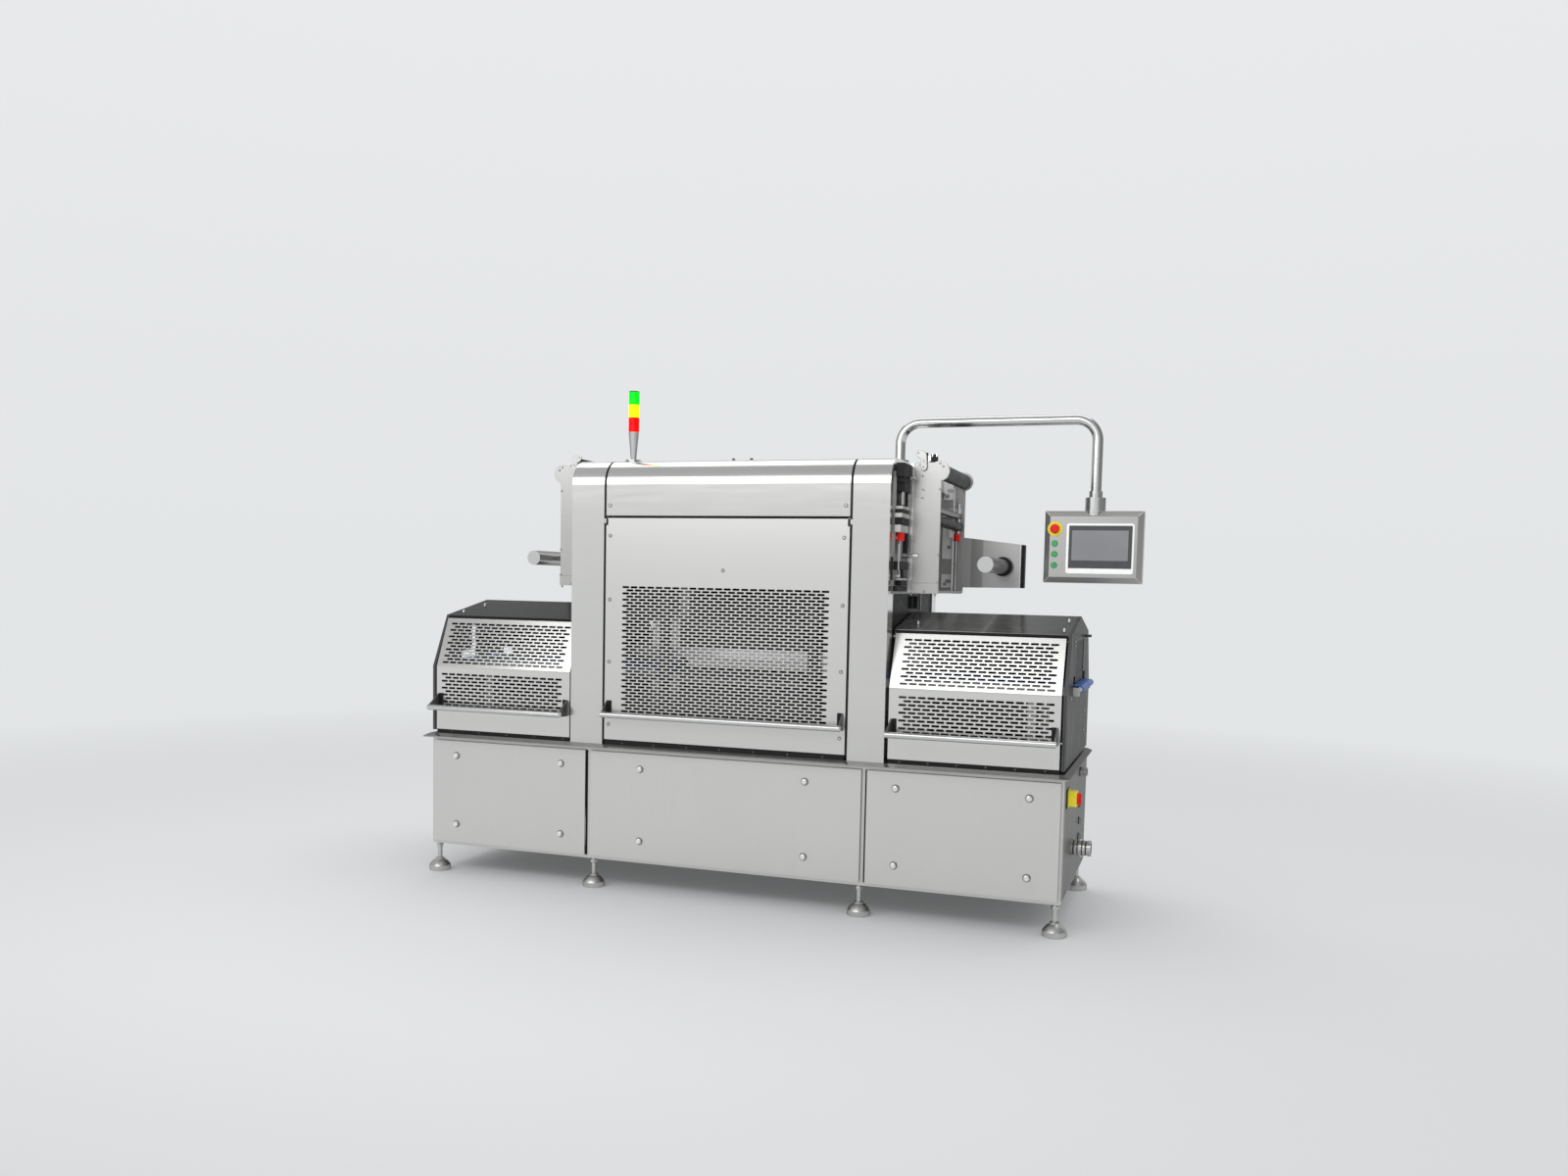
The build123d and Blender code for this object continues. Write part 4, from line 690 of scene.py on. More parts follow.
class SEALER_OT_guards(bpy.types.Operator):
    """Make the three slotted guards at the front"""
    bl_idname = "sealer.guards"
    bl_label = "Slotted guards"

    def execute(self, context):
        sizes = context.scene.sealer_guards
        length, height, pitch, sheet, middle_rise, side_rise = (value / MM for value in (
            sizes.slot_length, sizes.slot_height, sizes.slot_pitch, sizes.sheet, sizes.middle_rise,
            sizes.side_rise))
        low, high = span("middle_guard")
        field_up = 441.5
        field = slotted_field(sizes.middle_columns, sizes.middle_rows, pitch, middle_rise, length, height)
        guard = folded_guard(
            low.x, high.x, ((low.y, low.z), (low.y, high.z)), ((field, x_mid, field_up),),
            high.y - low.y - 0.5, (32, 32), sheet)
        settle("middle_guard_sheet", guard, "middle_guard", "guard_steel", ("guard", "inside"), "middle_guard")
        # The side guards stand upright to a bend and slant back from there
        bend_up, slant_back, slant_up = 323.6, 101.5, 566.4
        upright_up, slanted_up, fold_depth = 195.0, 127.0, 20.0
        for side_name, side in side_signs.items():
            low, high = span(f"{side_name}_guard")
            line = ((low.y, low.z), (low.y, low.z + bend_up), (low.y + slant_back, low.z + slant_up))
            centre = (low.x + high.x) / 2 + side * 8
            upright, slant = (
                slotted_field(sizes.side_columns, rows, pitch, side_rise, length, height)
                for rows in (sizes.upright_rows, sizes.slant_rows))
            guard = folded_guard(
                low.x, high.x, line, ((upright, centre, upright_up), (slant, centre, slanted_up)), fold_depth,
                (22, 26), sheet)
            settle(f"{side_name}_guard_sheet", guard, f"{side_name}_guard", "guard_steel",
                   ("side_guard", "inside"), f"{side_name}_guard")
        return {"FINISHED"}


# ---------------------------------------------------------------- handles

class SEALER_OT_handles(bpy.types.Operator):
    """Make the guards' tube handles with their dark gussets"""
    bl_idname = "sealer.handles"
    bl_label = "Handles"

    def execute(self, context):
        radius, rise = 14, 66
        for name in (*side_signs, "middle"):
            low, high = span(f"{name}_handle")
            face = span(f"{name}_guard")[0].y
            y, z = low.y + radius, high.z - rise
            handle = bmesh.new()
            add(handle, rod(radius, high.x - low.x, 28, 2.5), 0, facing((low.x, y, z), RIGHT))
            add(handle, turned(((0, 0), (11, 0), (12.5, 1.2), (12.5, 1.6), (0, 1.6))), 2,
                facing((low.x - 0.8, y, z), RIGHT), facing((high.x + 0.8, y, z), LEFT))
            gusset = ((y - 4, z - 11), (y - 4, z + 11), (face, z + rise), (face, z - 14))
            for start, inside in ((low.x + 3, low.x + 12), (high.x - 11, high.x - 32)):
                web = plate(gusset, 8, 0.8)
                turn = Matrix(((0, 1, 0, start), (1, 0, 0, 0), (0, 0, 1, 0), (0, 0, 0, 1)))
                bmesh.ops.transform(web, matrix=turn, verts=web.verts)
                bmesh.ops.recalc_face_normals(web, faces=web.faces)
                add(handle, web, 1)
                add(handle, block((inside, face - 3.5, z - 10), (inside + 20, face + 0.2, z + rise), 0.8), 3)
            settle(f"{name}_handle_bar", handle, f"{name}_guard", "handle_steel",
                   ("tube", "gusset", "bright", "black"), f"{name}_handle")
        return {"FINISHED"}


# ---------------------------------------------------------------- seams and catches

DECK_TOP = 720.1
ROOF_SEAM_LOW, ROOF_SEAM_HIGH = 1306, 1319.4
# The seals between the guards and the deck
SIDE_SEAL_TOP = 737
MIDDLE_SEAL_LOW_X, MIDDLE_SEAL_HIGH_X, MIDDLE_SEAL_TOP = 967, 2183, 742.5
SEAL_BACK = -12.5


def hood_line(inset, arc_steps=10):
    """Points of the hood's outline in Y and Z, from the front's foot over the top to the back's foot."""
    radius = 120 - inset
    half = y_mid - hood_front - inset
    top = hood_top - inset
    foot = span("plinth")[1].z
    points = [(y_mid - half, foot)]
    for end in (-1, 1):
        for step in range(arc_steps + 1):
            turn = math.pi / 2 * step / arc_steps
            if end > 0:
                turn = math.pi / 2 - turn
            points.append((
                y_mid + end * (half - radius + radius * math.cos(turn)), top - radius + radius * math.sin(turn)))
    return points + [(y_mid + half, foot)]


def gasket(outer, inner, x_low, x_high):
    """A strip between two outlines of the hood, from one X to another."""
    strip = bmesh.new()
    rows = []
    for points, x in ((outer, x_low), (outer, x_high), (inner, x_high), (inner, x_low)):
        verts = [strip.verts.new((x, y, z)) for y, z in points]
        rows.append([strip.edges.new(pair) for pair in zip(verts, verts[1:])])
    for first, second in zip(rows, rows[1:] + rows[:1]):
        bmesh.ops.bridge_loops(strip, edges=first + second)
    bmesh.ops.holes_fill(strip, edges=strip.edges[:], sides=4)
    bmesh.ops.recalc_face_normals(strip, faces=strip.faces)
    return strip


class SEALER_OT_seams(bpy.types.Operator):
    """Make the black seams between the hood's covers and the guards' catches"""
    bl_idname = "sealer.seams"
    bl_label = "Seams and catches"

    def execute(self, context):
        low, high = span("top_cover")
        seams = bmesh.new()
        for seam_x in (low.x - 11.5, high.x + 2.5):
            add(seams, gasket(hood_line(4), hood_line(13), seam_x, seam_x + 9))
        add(seams, block((low.x, hood_front + 2, low.z - 5), (high.x, hood_front + 24, low.z + 1)))
        for side_name in side_signs:
            low, high = span(f"{side_name}_roof")
            guard_low, guard_high = span(f"{side_name}_guard")
            edge = low.y + 27.4
            for y, out in ((edge, -1), (2 * y_mid - edge, 1)):
                add(seams, block((low.x + 2, y + 0.4 * out, ROOF_SEAM_LOW), (high.x - 2, y - 4 * out, ROOF_SEAM_HIGH)))
            add(seams, block(
                (guard_low.x + 2, guard_low.y + 1.5, DECK_TOP), (guard_high.x - 2, SEAL_BACK, SIDE_SEAL_TOP)))
        add(seams, block(
            (MIDDLE_SEAL_LOW_X, hood_front + 2, DECK_TOP), (MIDDLE_SEAL_HIGH_X, SEAL_BACK, MIDDLE_SEAL_TOP)))
        settle("hood_seams", seams, "frame", "fitting_black", ("black",))
        catches = bmesh.new()
        low, high = span("middle_guard")
        for x in (low.x + 0.5, high.x - 9.5):
            add(catches, block((x, hood_front - 1.5, high.z - 34), (x + 9, hood_front + 4, high.z - 0.5), 0.8))
        settle("middle_guard_catches", catches, "middle_guard", "fitting_black", ("black",))
        return {"FINISHED"}


# ---------------------------------------------------------------- rails and flaps

# Rails in front of the tools: start, levels and finish
TOOL_RAILS = ((1010, 1146, 1192, 0), (1300, 1104, 1144, 1), (1010, 1022, 1044, 2))
RAIL_END = 2140
# Flaps: pitch, width, thickness and levels, and where the last one ends
FLAP_PITCH, FLAP_WIDTH, FLAP_THICKNESS = 47, 45, 2.5
FLAP_LOW, FLAP_HIGH, FLAPS_END = 1094, 1289, 631


class SEALER_OT_inside(bpy.types.Operator):
    """Make the rails in front of the press tools and the flaps in the tray mouths"""
    bl_idname = "sealer.inside"
    bl_label = "Rails and flaps"

    def execute(self, context):
        tool = span("lower_tool")[0]
        rails = bmesh.new()
        for x_low, z_low, z_high, finish in TOOL_RAILS:
            add(rails, block((x_low, tool.y - 9, z_low), (RAIL_END, tool.y - 3, z_high), 1.5), finish)
        settle("tool_rails", rails, "frame", "tool_aluminium", ("rail", "film", "gusset"))
        flaps = bmesh.new()
        for x, way, start in ((span("infeed_end_wall")[0].x + 33, 1, 351),
                              (span("outfeed_end_wall")[1].x - 33, -1, 301)):
            for y in range(start, FLAPS_END - FLAP_PITCH // 2, FLAP_PITCH):
                add(flaps, block((x, y, FLAP_LOW), (x + way * FLAP_THICKNESS, y + FLAP_WIDTH, FLAP_HIGH), 0.6))
        settle("mouth_flaps", flaps, "frame", "fitting_black", ("black",))
        return {"FINISHED"}


# ---------------------------------------------------------------- cabinet doors and feet

# Door widths with their knobs' insets, the gap between doors and the black strips behind the gaps, painted shade
DOORS = ((870.0, 135.0), (1380.0, 270.0), (870.0, 135.0))
DOOR_GAP = 27
GAP_SHADE_STRIPS = (857, 2282)
# Rings of the exhaust port: distance from the end sheet, width, radius and finish
PORT_RINGS = (
    (9, 6, 33, 1), (17, 9, 35.5, 0), (28, 4, 33, 1), (34, 12, 36, 0), (48, 4, 33, 1), (54, 9, 35.5, 0),
    (65, 5, 33, 1), (72, 8, 35, 0))
# Knobs on the end sheet: depth, level, radius and reach
END_KNOBS = ((620, 490, 14, 16), (620, 408, 14, 16), (620, 331, 14, 16), (603, 650, 20, 35))
FOOT = (
    (0, 0), (52, 0), (54, 2), (54, 25), (52, 28), (46, 37), (36, 47), (26, 54), (22, 56), (22, 62), (13, 62),
    (13, 66), (11, 66), (11, 120), (0, 120))


class SEALER_OT_cabinet(bpy.types.Operator):
    """Make the cabinet's folded doors with knobs, the end's fittings and the turned feet"""
    bl_idname = "sealer.cabinet"
    bl_label = "Doors and feet"

    def doors(self, name, low, high, face, seat, out):
        """One side's doors, from the sheet's face to the seat on the base frame."""
        doors = bmesh.new()
        start = low.x
        for width, inset in DOORS:
            add(doors, block((start, face, low.z), (start + width, face - out * 4, high.z), 1.0))
            # A black seal behind each pan, whose dark edge also stands in for the shade along the pan's sides: painted
            # shade
            add(doors, block(
                (start + 3, seat, low.z + 3), (start + width - 3, face - out * 3.5, high.z - 3)), 1)
            places = [
                facing((start + x, face - out * 0.5, z), (0, out, 0))
                for x in (inset, width - inset) for z in (low.z + 95, high.z - 75)]
            add(doors, turned(((14, 0), (14, 9), (13, 12), (11.5, 15.2), (9.5, 16.2), (8.8, 15.6), (0, 15.6))),
                2, *places)
            add(doors, turned(((0, 0), (18.2, 0), (18.2, 1.6), (13, 1.6), (13, 0.8))), 3, *places)
            start += width + DOOR_GAP
        # Painted shade: black strips behind the gaps between the doors
        for x in GAP_SHADE_STRIPS:
            add(doors, block((x, seat + out, low.z), (x + 11, seat - 5 * out, high.z)), 1)
        settle(f"{name}_door_pans", doors, "frame", "panel_steel", ("sheet", "black", "bright", "gusset"),
               f"{name}_doors")

    def execute(self, context):
        low, high = span("front_doors")
        rear_low, rear_high = span("rear_doors")
        self.doors("front", low, high, low.y + 16, high.y, -1)
        self.doors("rear", low, high, rear_high.y - 16, rear_low.y, 1)
        low, high = span("exhaust_port")
        fittings = bmesh.new()
        y, z = (low.y + high.y) / 2, (low.z + high.z) / 2
        for reach, width, radius, finish in PORT_RINGS:
            add(fittings, ring(30.5, radius, width), finish, facing((low.x + reach, y, z), RIGHT))
        for level in (low.z - 6, high.z - 8):
            add(fittings, block((low.x + 36, y - 7, level), (low.x + 50, y + 7, level + 14), 2))
        for y, z, radius, reach in END_KNOBS:
            place = facing((low.x, y, z), RIGHT)
            add(fittings, turned((
                (radius + 0.4, 0), (radius + 0.4, reach - 2), (radius - 1.5, reach + 0.6),
                (radius - 4, reach + 0.6), (radius - 5, reach), (0, reach))), 2, place)
            add(fittings, turned(((0, 0), (radius + 4, 0), (radius + 4, 3), (radius, 3), (radius, 1))), 1, place)
        settle("end_fittings", fittings, "frame", "fitting_black", ("tube", "black", "film"))
        low, high = span("levelling_feet")
        feet = bmesh.new()
        places = [moved(x, y, 0) for x in (low.x + 54, 892, 2258, high.x - 54) for y in (low.y + 54, high.y - 54)]
        add(feet, turned(FOOT, 28), 0, *places)
        add(feet, turned((
            (10, 120), (17, 120), (18, 121.5), (18, 132.5), (17, 134), (11, 134), (11, high.z), (0, high.z)), 6),
            0, *places)
        settle("machine_feet", feet, "frame", "foot_steel", ("foot",), "levelling_feet")
        return {"FINISHED"}


# ---------------------------------------------------------------- screws

LEVELS = (819, 1124, 1425, 1732)
# Screws on the outfeed end wall, as depth and level, and studs on the roofs, as place and depth
WALL_SCREWS = ((228, 1288), (235, 1270), (132, 1036), (758, 930), (748, 835), (821, 1275))
ROOF_STUDS = ((46, 140), (72, 300), (2456, 200), (3130, 140), (3130, 330))
# Small screws along the deck's front: depth, and start, end and pitch along it
DECK_SCREWS = ((-31.2, (90, 760, 160)), (-45.2, (1060, 2160, 170)), (-31.2, (2440, 3140, 130)))


class SEALER_OT_screws(bpy.types.Operator):
    """Set the screws, bolts and studs on the covers, roofs and walls"""
    bl_idname = "sealer.screws"
    bl_label = "Screws and studs"

    def execute(self, context):
        def fasten(target, places):
            # A dark washer under each head, which also stands in for the shade round the head: painted shade
            add(target, turned(((0, 0), (9.2, 0), (9.2, 0.7), (6, 0.7)), 20), 1, *places)
            add(target, screw_head(), 0, *places)

        metal = ("tube", "bezel", "bright")
        guard = bmesh.new()
        fasten(guard, [facing((x, hood_front, z)) for x in (987, 2160) for z in LEVELS]
               + [facing((x_mid - 2, hood_front, 1574))])
        settle("middle_guard_screws", guard, "middle_guard", "fitting_black", metal)
        fixed = bmesh.new()
        add(fixed, rod(8, 10, 20, 2.5), 1, *(moved(x, y, hood_top) for x in (1564, 1655) for y in (88, 842)))
        roof_low, roof_foot, roof_slope = 1321.3, 90, 75.7 / 375
        add(fixed, rod(5.5, 17, 14, 1.5), 2, *(
            facing((x, y, roof_low + (y - roof_foot) * roof_slope), UP) for x, y in ROOF_STUDS))
        wall = span("outfeed_end_wall")[1].x - 30
        fasten(fixed, [facing((x, y, 1877), way) for x in (985, 2165) for y, way in (
            (hood_front, FRONT), (hood_rear, BACK))]
            + [facing((x, hood_rear, z), BACK) for x in (987, 2163) for z in LEVELS]
            + [facing((wall, y, z), RIGHT) for y, z in WALL_SCREWS])
        add(fixed, screw_head(2.6), 0, *(facing((x, y, 729)) for y, run in DECK_SCREWS for x in range(*run)))
        settle("cover_screws", fixed, "frame", "fitting_black", metal)
        return {"FINISHED"}


# ---------------------------------------------------------------- film units

# Distances along the machine are measured from its middle towards the unit's side
HOOK = (
    (857, 2121), (858, 2133), (866, 2141), (878, 2142), (892, 2139), (902, 2132), (908, 2120), (911, 2064),
    (907, 2053), (895, 2048), (884, 2053), (880, 2064), (880, 2102), (864, 2112))
PLATE_Y = 165
LOBE_PLACE, LOBE_RADIUS = (968, 2048), 46
# Blocks: distances, depths, levels, ease and finish. The first is a bright strip down the plate's edge, a painted
# highlight
FILM_BLOCKS = (
    ((832, 850), (162.5, 170), (1490, 2083), 0.8, 1), ((803, 848), (165, 175), (1530, 1590), 0.8, 0),
    ((803, 848), (165, 175), (1955, 2015), 0.8, 0), ((846, 977), (160.5, 166), (1489, 1534), 0.8, 0),
    ((849, 975), (163.2, 166), (1535, 1538), 0, 4), ((870, 925), (742, 749), (1955, 2066), 0.8, 3),
    ((870, 925), (742, 749), (1872, 1901), 0.8, 3), ((870, 925), (742, 749), (1661, 1836), 0.8, 3),
    ((870, 925), (742, 749), (1517, 1585), 0.8, 3), ((862, 962), (736, 748), (1886, 1914), 1, 1))
CLAMP_BLOCKS = (
    ((902, 911), (166, 176), (2087, 2131), 0.8, 2), ((911, 926), (168, 178), (2087, 2118), 0.8, 1),
    ((925, 957), (166, 182), (2087, 2124), 3, 2))
# Rods: radius, length, sides and ease, then finish, distance, depth, level and direction outwards, back and up
FILM_RODS = (
    ((12, 75, 20, 0.5), 1, (803, 170, 1660), (1, 0, 0)), ((15, 4, 24, 1.5), 0, (866, 163.8, 1660), FRONT),
    ((3.2, 1.2, 10, 0.3), 2, (869, 154.6, 2129), FRONT), ((6, 150, 12, 0.5), 1, (953, 730, 1785), UP),
    ((13, 38, 20, 2), 3, (915, 700, 1768), UP), ((22.6, 577, 28, 1), 6, (950.5, 176.5, 1822), BACK),
    ((4.5, 570, 12, 0.5), 1, (929, 718, 1496), UP))
CLAMP_RODS = (
    ((5, 18, 12, 0.5), 1, (932, 170, 2112), (0.2, 0, 1)), ((6, 14, 12, 0.5), 1, (952, 170, 2112), (0.2, 0, 1)))
BAR_RODS = (((13, 580, 24, 1), 6, (884, 163, 2114), BACK),)
# Screws of the front plate, as distance, depth and level. The first nine have a dark washer
FILM_SCREWS = (
    (972, 165, 1964), (974, 165, 1668), (975, 165, 1542), (848, 165, 1543), (912, 161, 1497), (851, 163, 1483),
    (964, 163, 1482), (985, 165, 2068), (970, 165, 2083), (921, 165, 2091), (876, 165, 2077), (895, 154.5, 2092),
    (894, 154.5, 2065))
DIMPLES = ((888, 165, 2022), (893, 165, 1960), (890, 165, 1923))
# Holes of the pale inner plate: distance, level, radius and stretch
FILM_HOLES = (
    (892, 2040, 5, 1), (905, 2003, 10, 1.8), (890, 1976, 10, 1), (905, 1720, 9, 1.2), (905, 1550, 10, 1.5),
    (888, 1535, 8, 1))
# Valve parts on the outfeed mounting plate: depths and levels, then reach and finish
VALVE_BLOCKS = (
    ((5, 150), (2010, 2072), 40, 0), ((20, 232), (1985, 2030), 34, 0), ((30, 222), (1946, 1984), 36, 0),
    ((20, 150), (1866, 1880), 34, 1), ((5, 145), (1849, 1865), 34, 0), ((5, 148), (1828, 1848), 34, 1),
    ((5, 150), (1796, 1827), 34, 0), ((5, 145), (1762, 1795), 30, 1), ((180, 284), (1796, 1884), 26, 0),
    ((180, 215), (1774, 1796), 20, 0), ((172, 278), (1890, 1944), 14, 1), ((0, 172), (1594, 1631), 34, 0),
    ((0, 234), (1496, 1520), 20, 0), ((60, 232), (1523, 1544), 24, 0), ((44, 140), (1546, 1556), 32, 1))
# Valve rods: reach, depth, foot level, radius, length and finish
VALVE_RODS = (
    (22, 60, 1886, 9, 60, 1), (24, 100, 1884, 13, 62, 0), (22, 140, 1886, 8, 60, 1), (28, 108, 1670, 12, 90, 0),
    (22, 165, 1681, 6, 235, 1), (22, 66, 1546, 10, 50, 0), (30, -20, 1592, 4, 115, 1), (8, -60, 1545, 6, 105, 0))


class SEALER_OT_film_units(bpy.types.Operator):
    """Dress the film units with their plates, valves, bars and brackets"""
    bl_idname = "sealer.film_units"
    bl_label = "Film units"

    def unit(self, side_name, side):
        """One end's front plate with its hook, screws, bars and sleeves, its shaft's collar and its arm's cap."""
        def across(distance):
            return x_mid + side * distance

        def at(place, direction=FRONT):
            return facing((across(place[0]), *place[1:]), (side * direction[0], *direction[1:]))

        def add_blocks(target, rows):
            for distances, depths, levels, ease, finish in rows:
                corners = zip(map(across, distances), depths, levels)
                add(target, block(*corners, ease), finish)

        unit = bmesh.new()
        lobe = [
            (LOBE_PLACE[0] + LOBE_RADIUS * math.cos(math.radians(turn)),
             LOBE_PLACE[1] + LOBE_RADIUS * math.sin(math.radians(turn))) for turn in range(-78, 123, 10)]
        outline = [(846, 1488), (977, 1488), (977, 2003), *lobe, (856, 2087), (846, 2079)]
        hook = [(across(x), z) for x, z in HOOK]
        add(unit, plate([(across(x), z) for x, z in outline], 10, 1.2), 0, moved(0, PLATE_Y, 0))
        add(unit, plate(hook, 8.5, 1.4), 0, moved(0, PLATE_Y - 10.5, 0))
        # Painted shadow: a thin black copy of the hook, set off down and aside behind it
        add(unit, plate(hook, 2.2), 2, moved(1.2 * side, PLATE_Y - 2.1, -1.5))
        add_blocks(unit, FILM_BLOCKS + (CLAMP_BLOCKS if side > 0 else ()))
        for sizes, finish, place, direction in FILM_RODS + (CLAMP_RODS if side > 0 else BAR_RODS):
            add(unit, rod(*sizes), finish, at(place, direction))
        places = [at(place) for place in FILM_SCREWS]
        add(unit, turned(((0, 0), (5.8, 0), (5.8, 0.6), (4, 0.6)), 20), 2, *places[:9])
        add(unit, screw_head(4.8), 0, *places)
        add(unit, turned(((0, 0), (7, 0), (6, 0.8), (3, 0.2), (0, 0.2)), 12), 4, *map(at, DIMPLES))
        for distance, z, radius, stretch in FILM_HOLES:
            add(unit, rod(radius, 3, 16), 4, at((distance, 743, z)) @ Matrix.Diagonal((stretch, 1, 1, 1)))
        sleeve = turned((
            (12, 0), (16.5, 0), (17, 1), (17, 13), (16, 14), (16, 16), (17, 17), (17, 35), (16, 37), (0, 37)))
        add(unit, sleeve, 5, moved(across(945), 723, 1750),
            moved(across(818), 58, 1724) @ Matrix.Diagonal((1.15, 1.15, 1, 1)))
        settle(f"{side_name}_film_details", unit, "frame", "film_steel",
               ("film", "bright", "black", "pale", "film_dark", "red", "roller"), f"{side_name}_film_front_plate")
        collar = bmesh.new()
        place = at((1177, span(f"{side_name}_film_shaft")[1].y - 69, 1627), BACK)
        add(collar, turned(((37.2, 0), (48, 0), (48.6, 1), (48.6, 3), (37.2, 3)), 36), 0, place)
        add(collar, turned(((47, 4), (50.6, 4), (51.2, 6), (51.2, 14), (50.6, 16), (47, 16)), 36), 0, place)
        settle(f"{side_name}_shaft_collar", collar, f"{side_name}_film_shaft", "fitting_black", ("black",))
        cap = bmesh.new()
        # A black cap, with a thin bright strip down its edge towards the middle as a painted highlight
        add_blocks(cap, (((1263, 1282), (763, 811.5), (1522, 1737), 4, 0),
                         ((1259, 1263), (762, 811), (1523, 1736), 0.5, 1)))
        settle(f"{side_name}_arm_cap", cap, "frame", "fitting_black", ("black", "bright"))

    def execute(self, context):
        for side_name, side in side_signs.items():
            self.unit(side_name, side)
        valves = bmesh.new()
        face = x_mid + hood_half + 8
        for (y_low, y_high), (z_low, z_high), depth, finish in VALVE_BLOCKS:
            add(valves, block((face, y_low, z_low), (face + depth, y_high, z_high), 1.5), finish)
        for x, y, z, radius, length, finish in VALVE_RODS:
            add(valves, rod(radius, length, 14), finish, facing((face + x, y, z), UP))
        add(valves, turned(((0, 0), (9, 0), (9, 6), (6, 8), (6, 16), (8, 18), (8, 24), (0, 24)), 14), 1,
            facing((face + 30, 40, 2064)), facing((face + 40, 120, 2010), RIGHT),
            facing((face + 34, 190, 1968), RIGHT))
        settle("air_valves", valves, "frame", "fitting_black", ("black", "film"), "air_regulators")
        # Painted shade: black plates with rods across the hood's ends, above the tunnel, stand in for the shade inside
        # the hood
        shade_plates = bmesh.new()
        for side in side_signs.values():
            back, front, axle = (x_mid + side * (hood_half - inset) for inset in (12, 8, 6))
            add(shade_plates, block((back, 44, 1300), (front, 886, 1486)))
            add(shade_plates, rod(4, 82, 10), 1, moved(axle, 60, 1402), moved(axle, 640, 1402))
            add(shade_plates, rod(14, 60, 14), 0, moved(axle, 420, 1412), moved(axle, 520, 1412))
        settle("hood_end_baffles", shade_plates, "frame", "fitting_black", ("black", "film"))
        return {"FINISHED"}


# ---------------------------------------------------------------- tower lamp, panel and switch

# Levels of the panel's face, its bevel and the radius of the screen's surround
PANEL_LOW, PANEL_HIGH, BEVEL = 1552.3, 1883.3, 26
SURROUND_RADIUS = 11
# The neck under the boom: depth, level, radius and length
NECK_Y, NECK_Z, NECK_RADIUS, NECK_LENGTH = 455, 1859, 45.5, 23.8


class SEALER_OT_signals(bpy.types.Operator):
    """Make the tower's three lenses and the operator panel's face"""
    bl_idname = "sealer.signals"
    bl_label = "Tower and panel"

    def execute(self, context):
        low, high = span("tower_lamps")
        centre = ((low.x + high.x) / 2, (low.y + high.y) / 2)
        tower = bmesh.new()
        level = low.z
        for finish, height in ((0, 70), (1, 61), (2, 61)):
            add(tower, turned((
                (0, 0), (24, 0), (24, 1.5), (26, 2.5), (26, height - 1), (25, height), (0, height)), 28),
                finish, moved(*centre, level))
            level += height
        add(tower, turned(((0, 0), (26, 0), (26, 2), (22, 5), (8, 6), (0, 6)), 28), 3, moved(*centre, level))
        settle("tower_lenses", tower, "frame", "lamp_plastic",
               ("lamp_red", "lamp_yellow", "lamp_green", "black"), "tower_lamps")

        low, high = span("panel_screen")
        screen = bmesh.new()
        corners = [
            (x + SURROUND_RADIUS * (math.cos(turn) - math.copysign(1, math.cos(turn))),
             z + SURROUND_RADIUS * (math.sin(turn) - math.copysign(1, math.sin(turn))))
            for quarter, (x, z) in enumerate(((high.x, high.z), (low.x, high.z), (low.x, low.z), (high.x, low.z)))
            for turn in (math.radians(90 * quarter + 22.4 * step + 0.2) for step in range(5))]
        add(screen, plate(corners, high.y - low.y, 0.8), 0, moved(0, low.y, 0))
        add(screen, block((low.x + 11, low.y - 1.2, low.z + 24), (high.x - 8, low.y + 2, high.z - 10), 1), 1)
        add(screen, block((low.x + 25, low.y - 1.8, low.z + 60), (high.x - 25, low.y + 2, high.z - 32), 0.6), 2)
        settle("screen_unit", screen, "operator_panel", "screen_glass", ("white", "bezel", "glass"), "panel_screen")

        # Painted highlights: bright rods down the housing's bevelled corners, from the face to the outline, stand in
        # for light on the bevels
        face = low.y + 5
        low, high = span("panel_housing")
        trim = bmesh.new()
        for x, inner_x in ((low.x, low.x + BEVEL), (high.x, high.x - BEVEL)):
            for z, inner_z in ((PANEL_LOW, PANEL_LOW + BEVEL), (PANEL_HIGH, PANEL_HIGH - BEVEL)):
                start, stop = Vector((inner_x, face, inner_z)), Vector((x, face + 20, z))
                add(trim, rod(1.3, (stop - start).length, 6, 0.3), 0, facing(start, stop - start))
        add(trim, rod(NECK_RADIUS, NECK_LENGTH, 40), 3, moved((low.x + high.x) / 2, NECK_Y, NECK_Z))
        button_ring = ((12.7, 0), (15.5, 0), (15, 1.6), (13, 2.2), (12.7, 2.2))
        for name, profile, sides, finish in (
                ("emergency_stop", ((11, 0), (34, 0), (34, 4.4), (32, 5.6), (11, 5.6)), 32, 1),
                ("start_button", button_ring, 24, 2), ("stop_button", button_ring, 24, 2),
                ("reset_button", button_ring, 24, 2)):
            low, high = span(name)
            add(trim, turned(profile, sides), finish, facing(((low.x + high.x) / 2, face, (low.z + high.z) / 2)))
        settle("panel_trim", trim, "operator_panel", "panel_grey", ("bright", "yellow", "green", "tube"))
        return {"FINISHED"}


# ---------------------------------------------------------------- studio

def directed(name, place, target, width, height, power):
    """A softbox that faces a point."""
    lamp = bpy.data.lights.new(name, "AREA")
    lamp.shape = "RECTANGLE"
    lamp.size, lamp.size_y = width, height
    lamp.energy = power
    holder = bpy.data.objects.new(name, lamp)
    holder.matrix_world = Matrix.Translation(place) @ (
        Vector(target) - Vector(place)).to_track_quat("-Z", "Y").to_matrix().to_4x4()
    holder.visible_camera = False
    bpy.context.scene.collection.objects.link(holder)


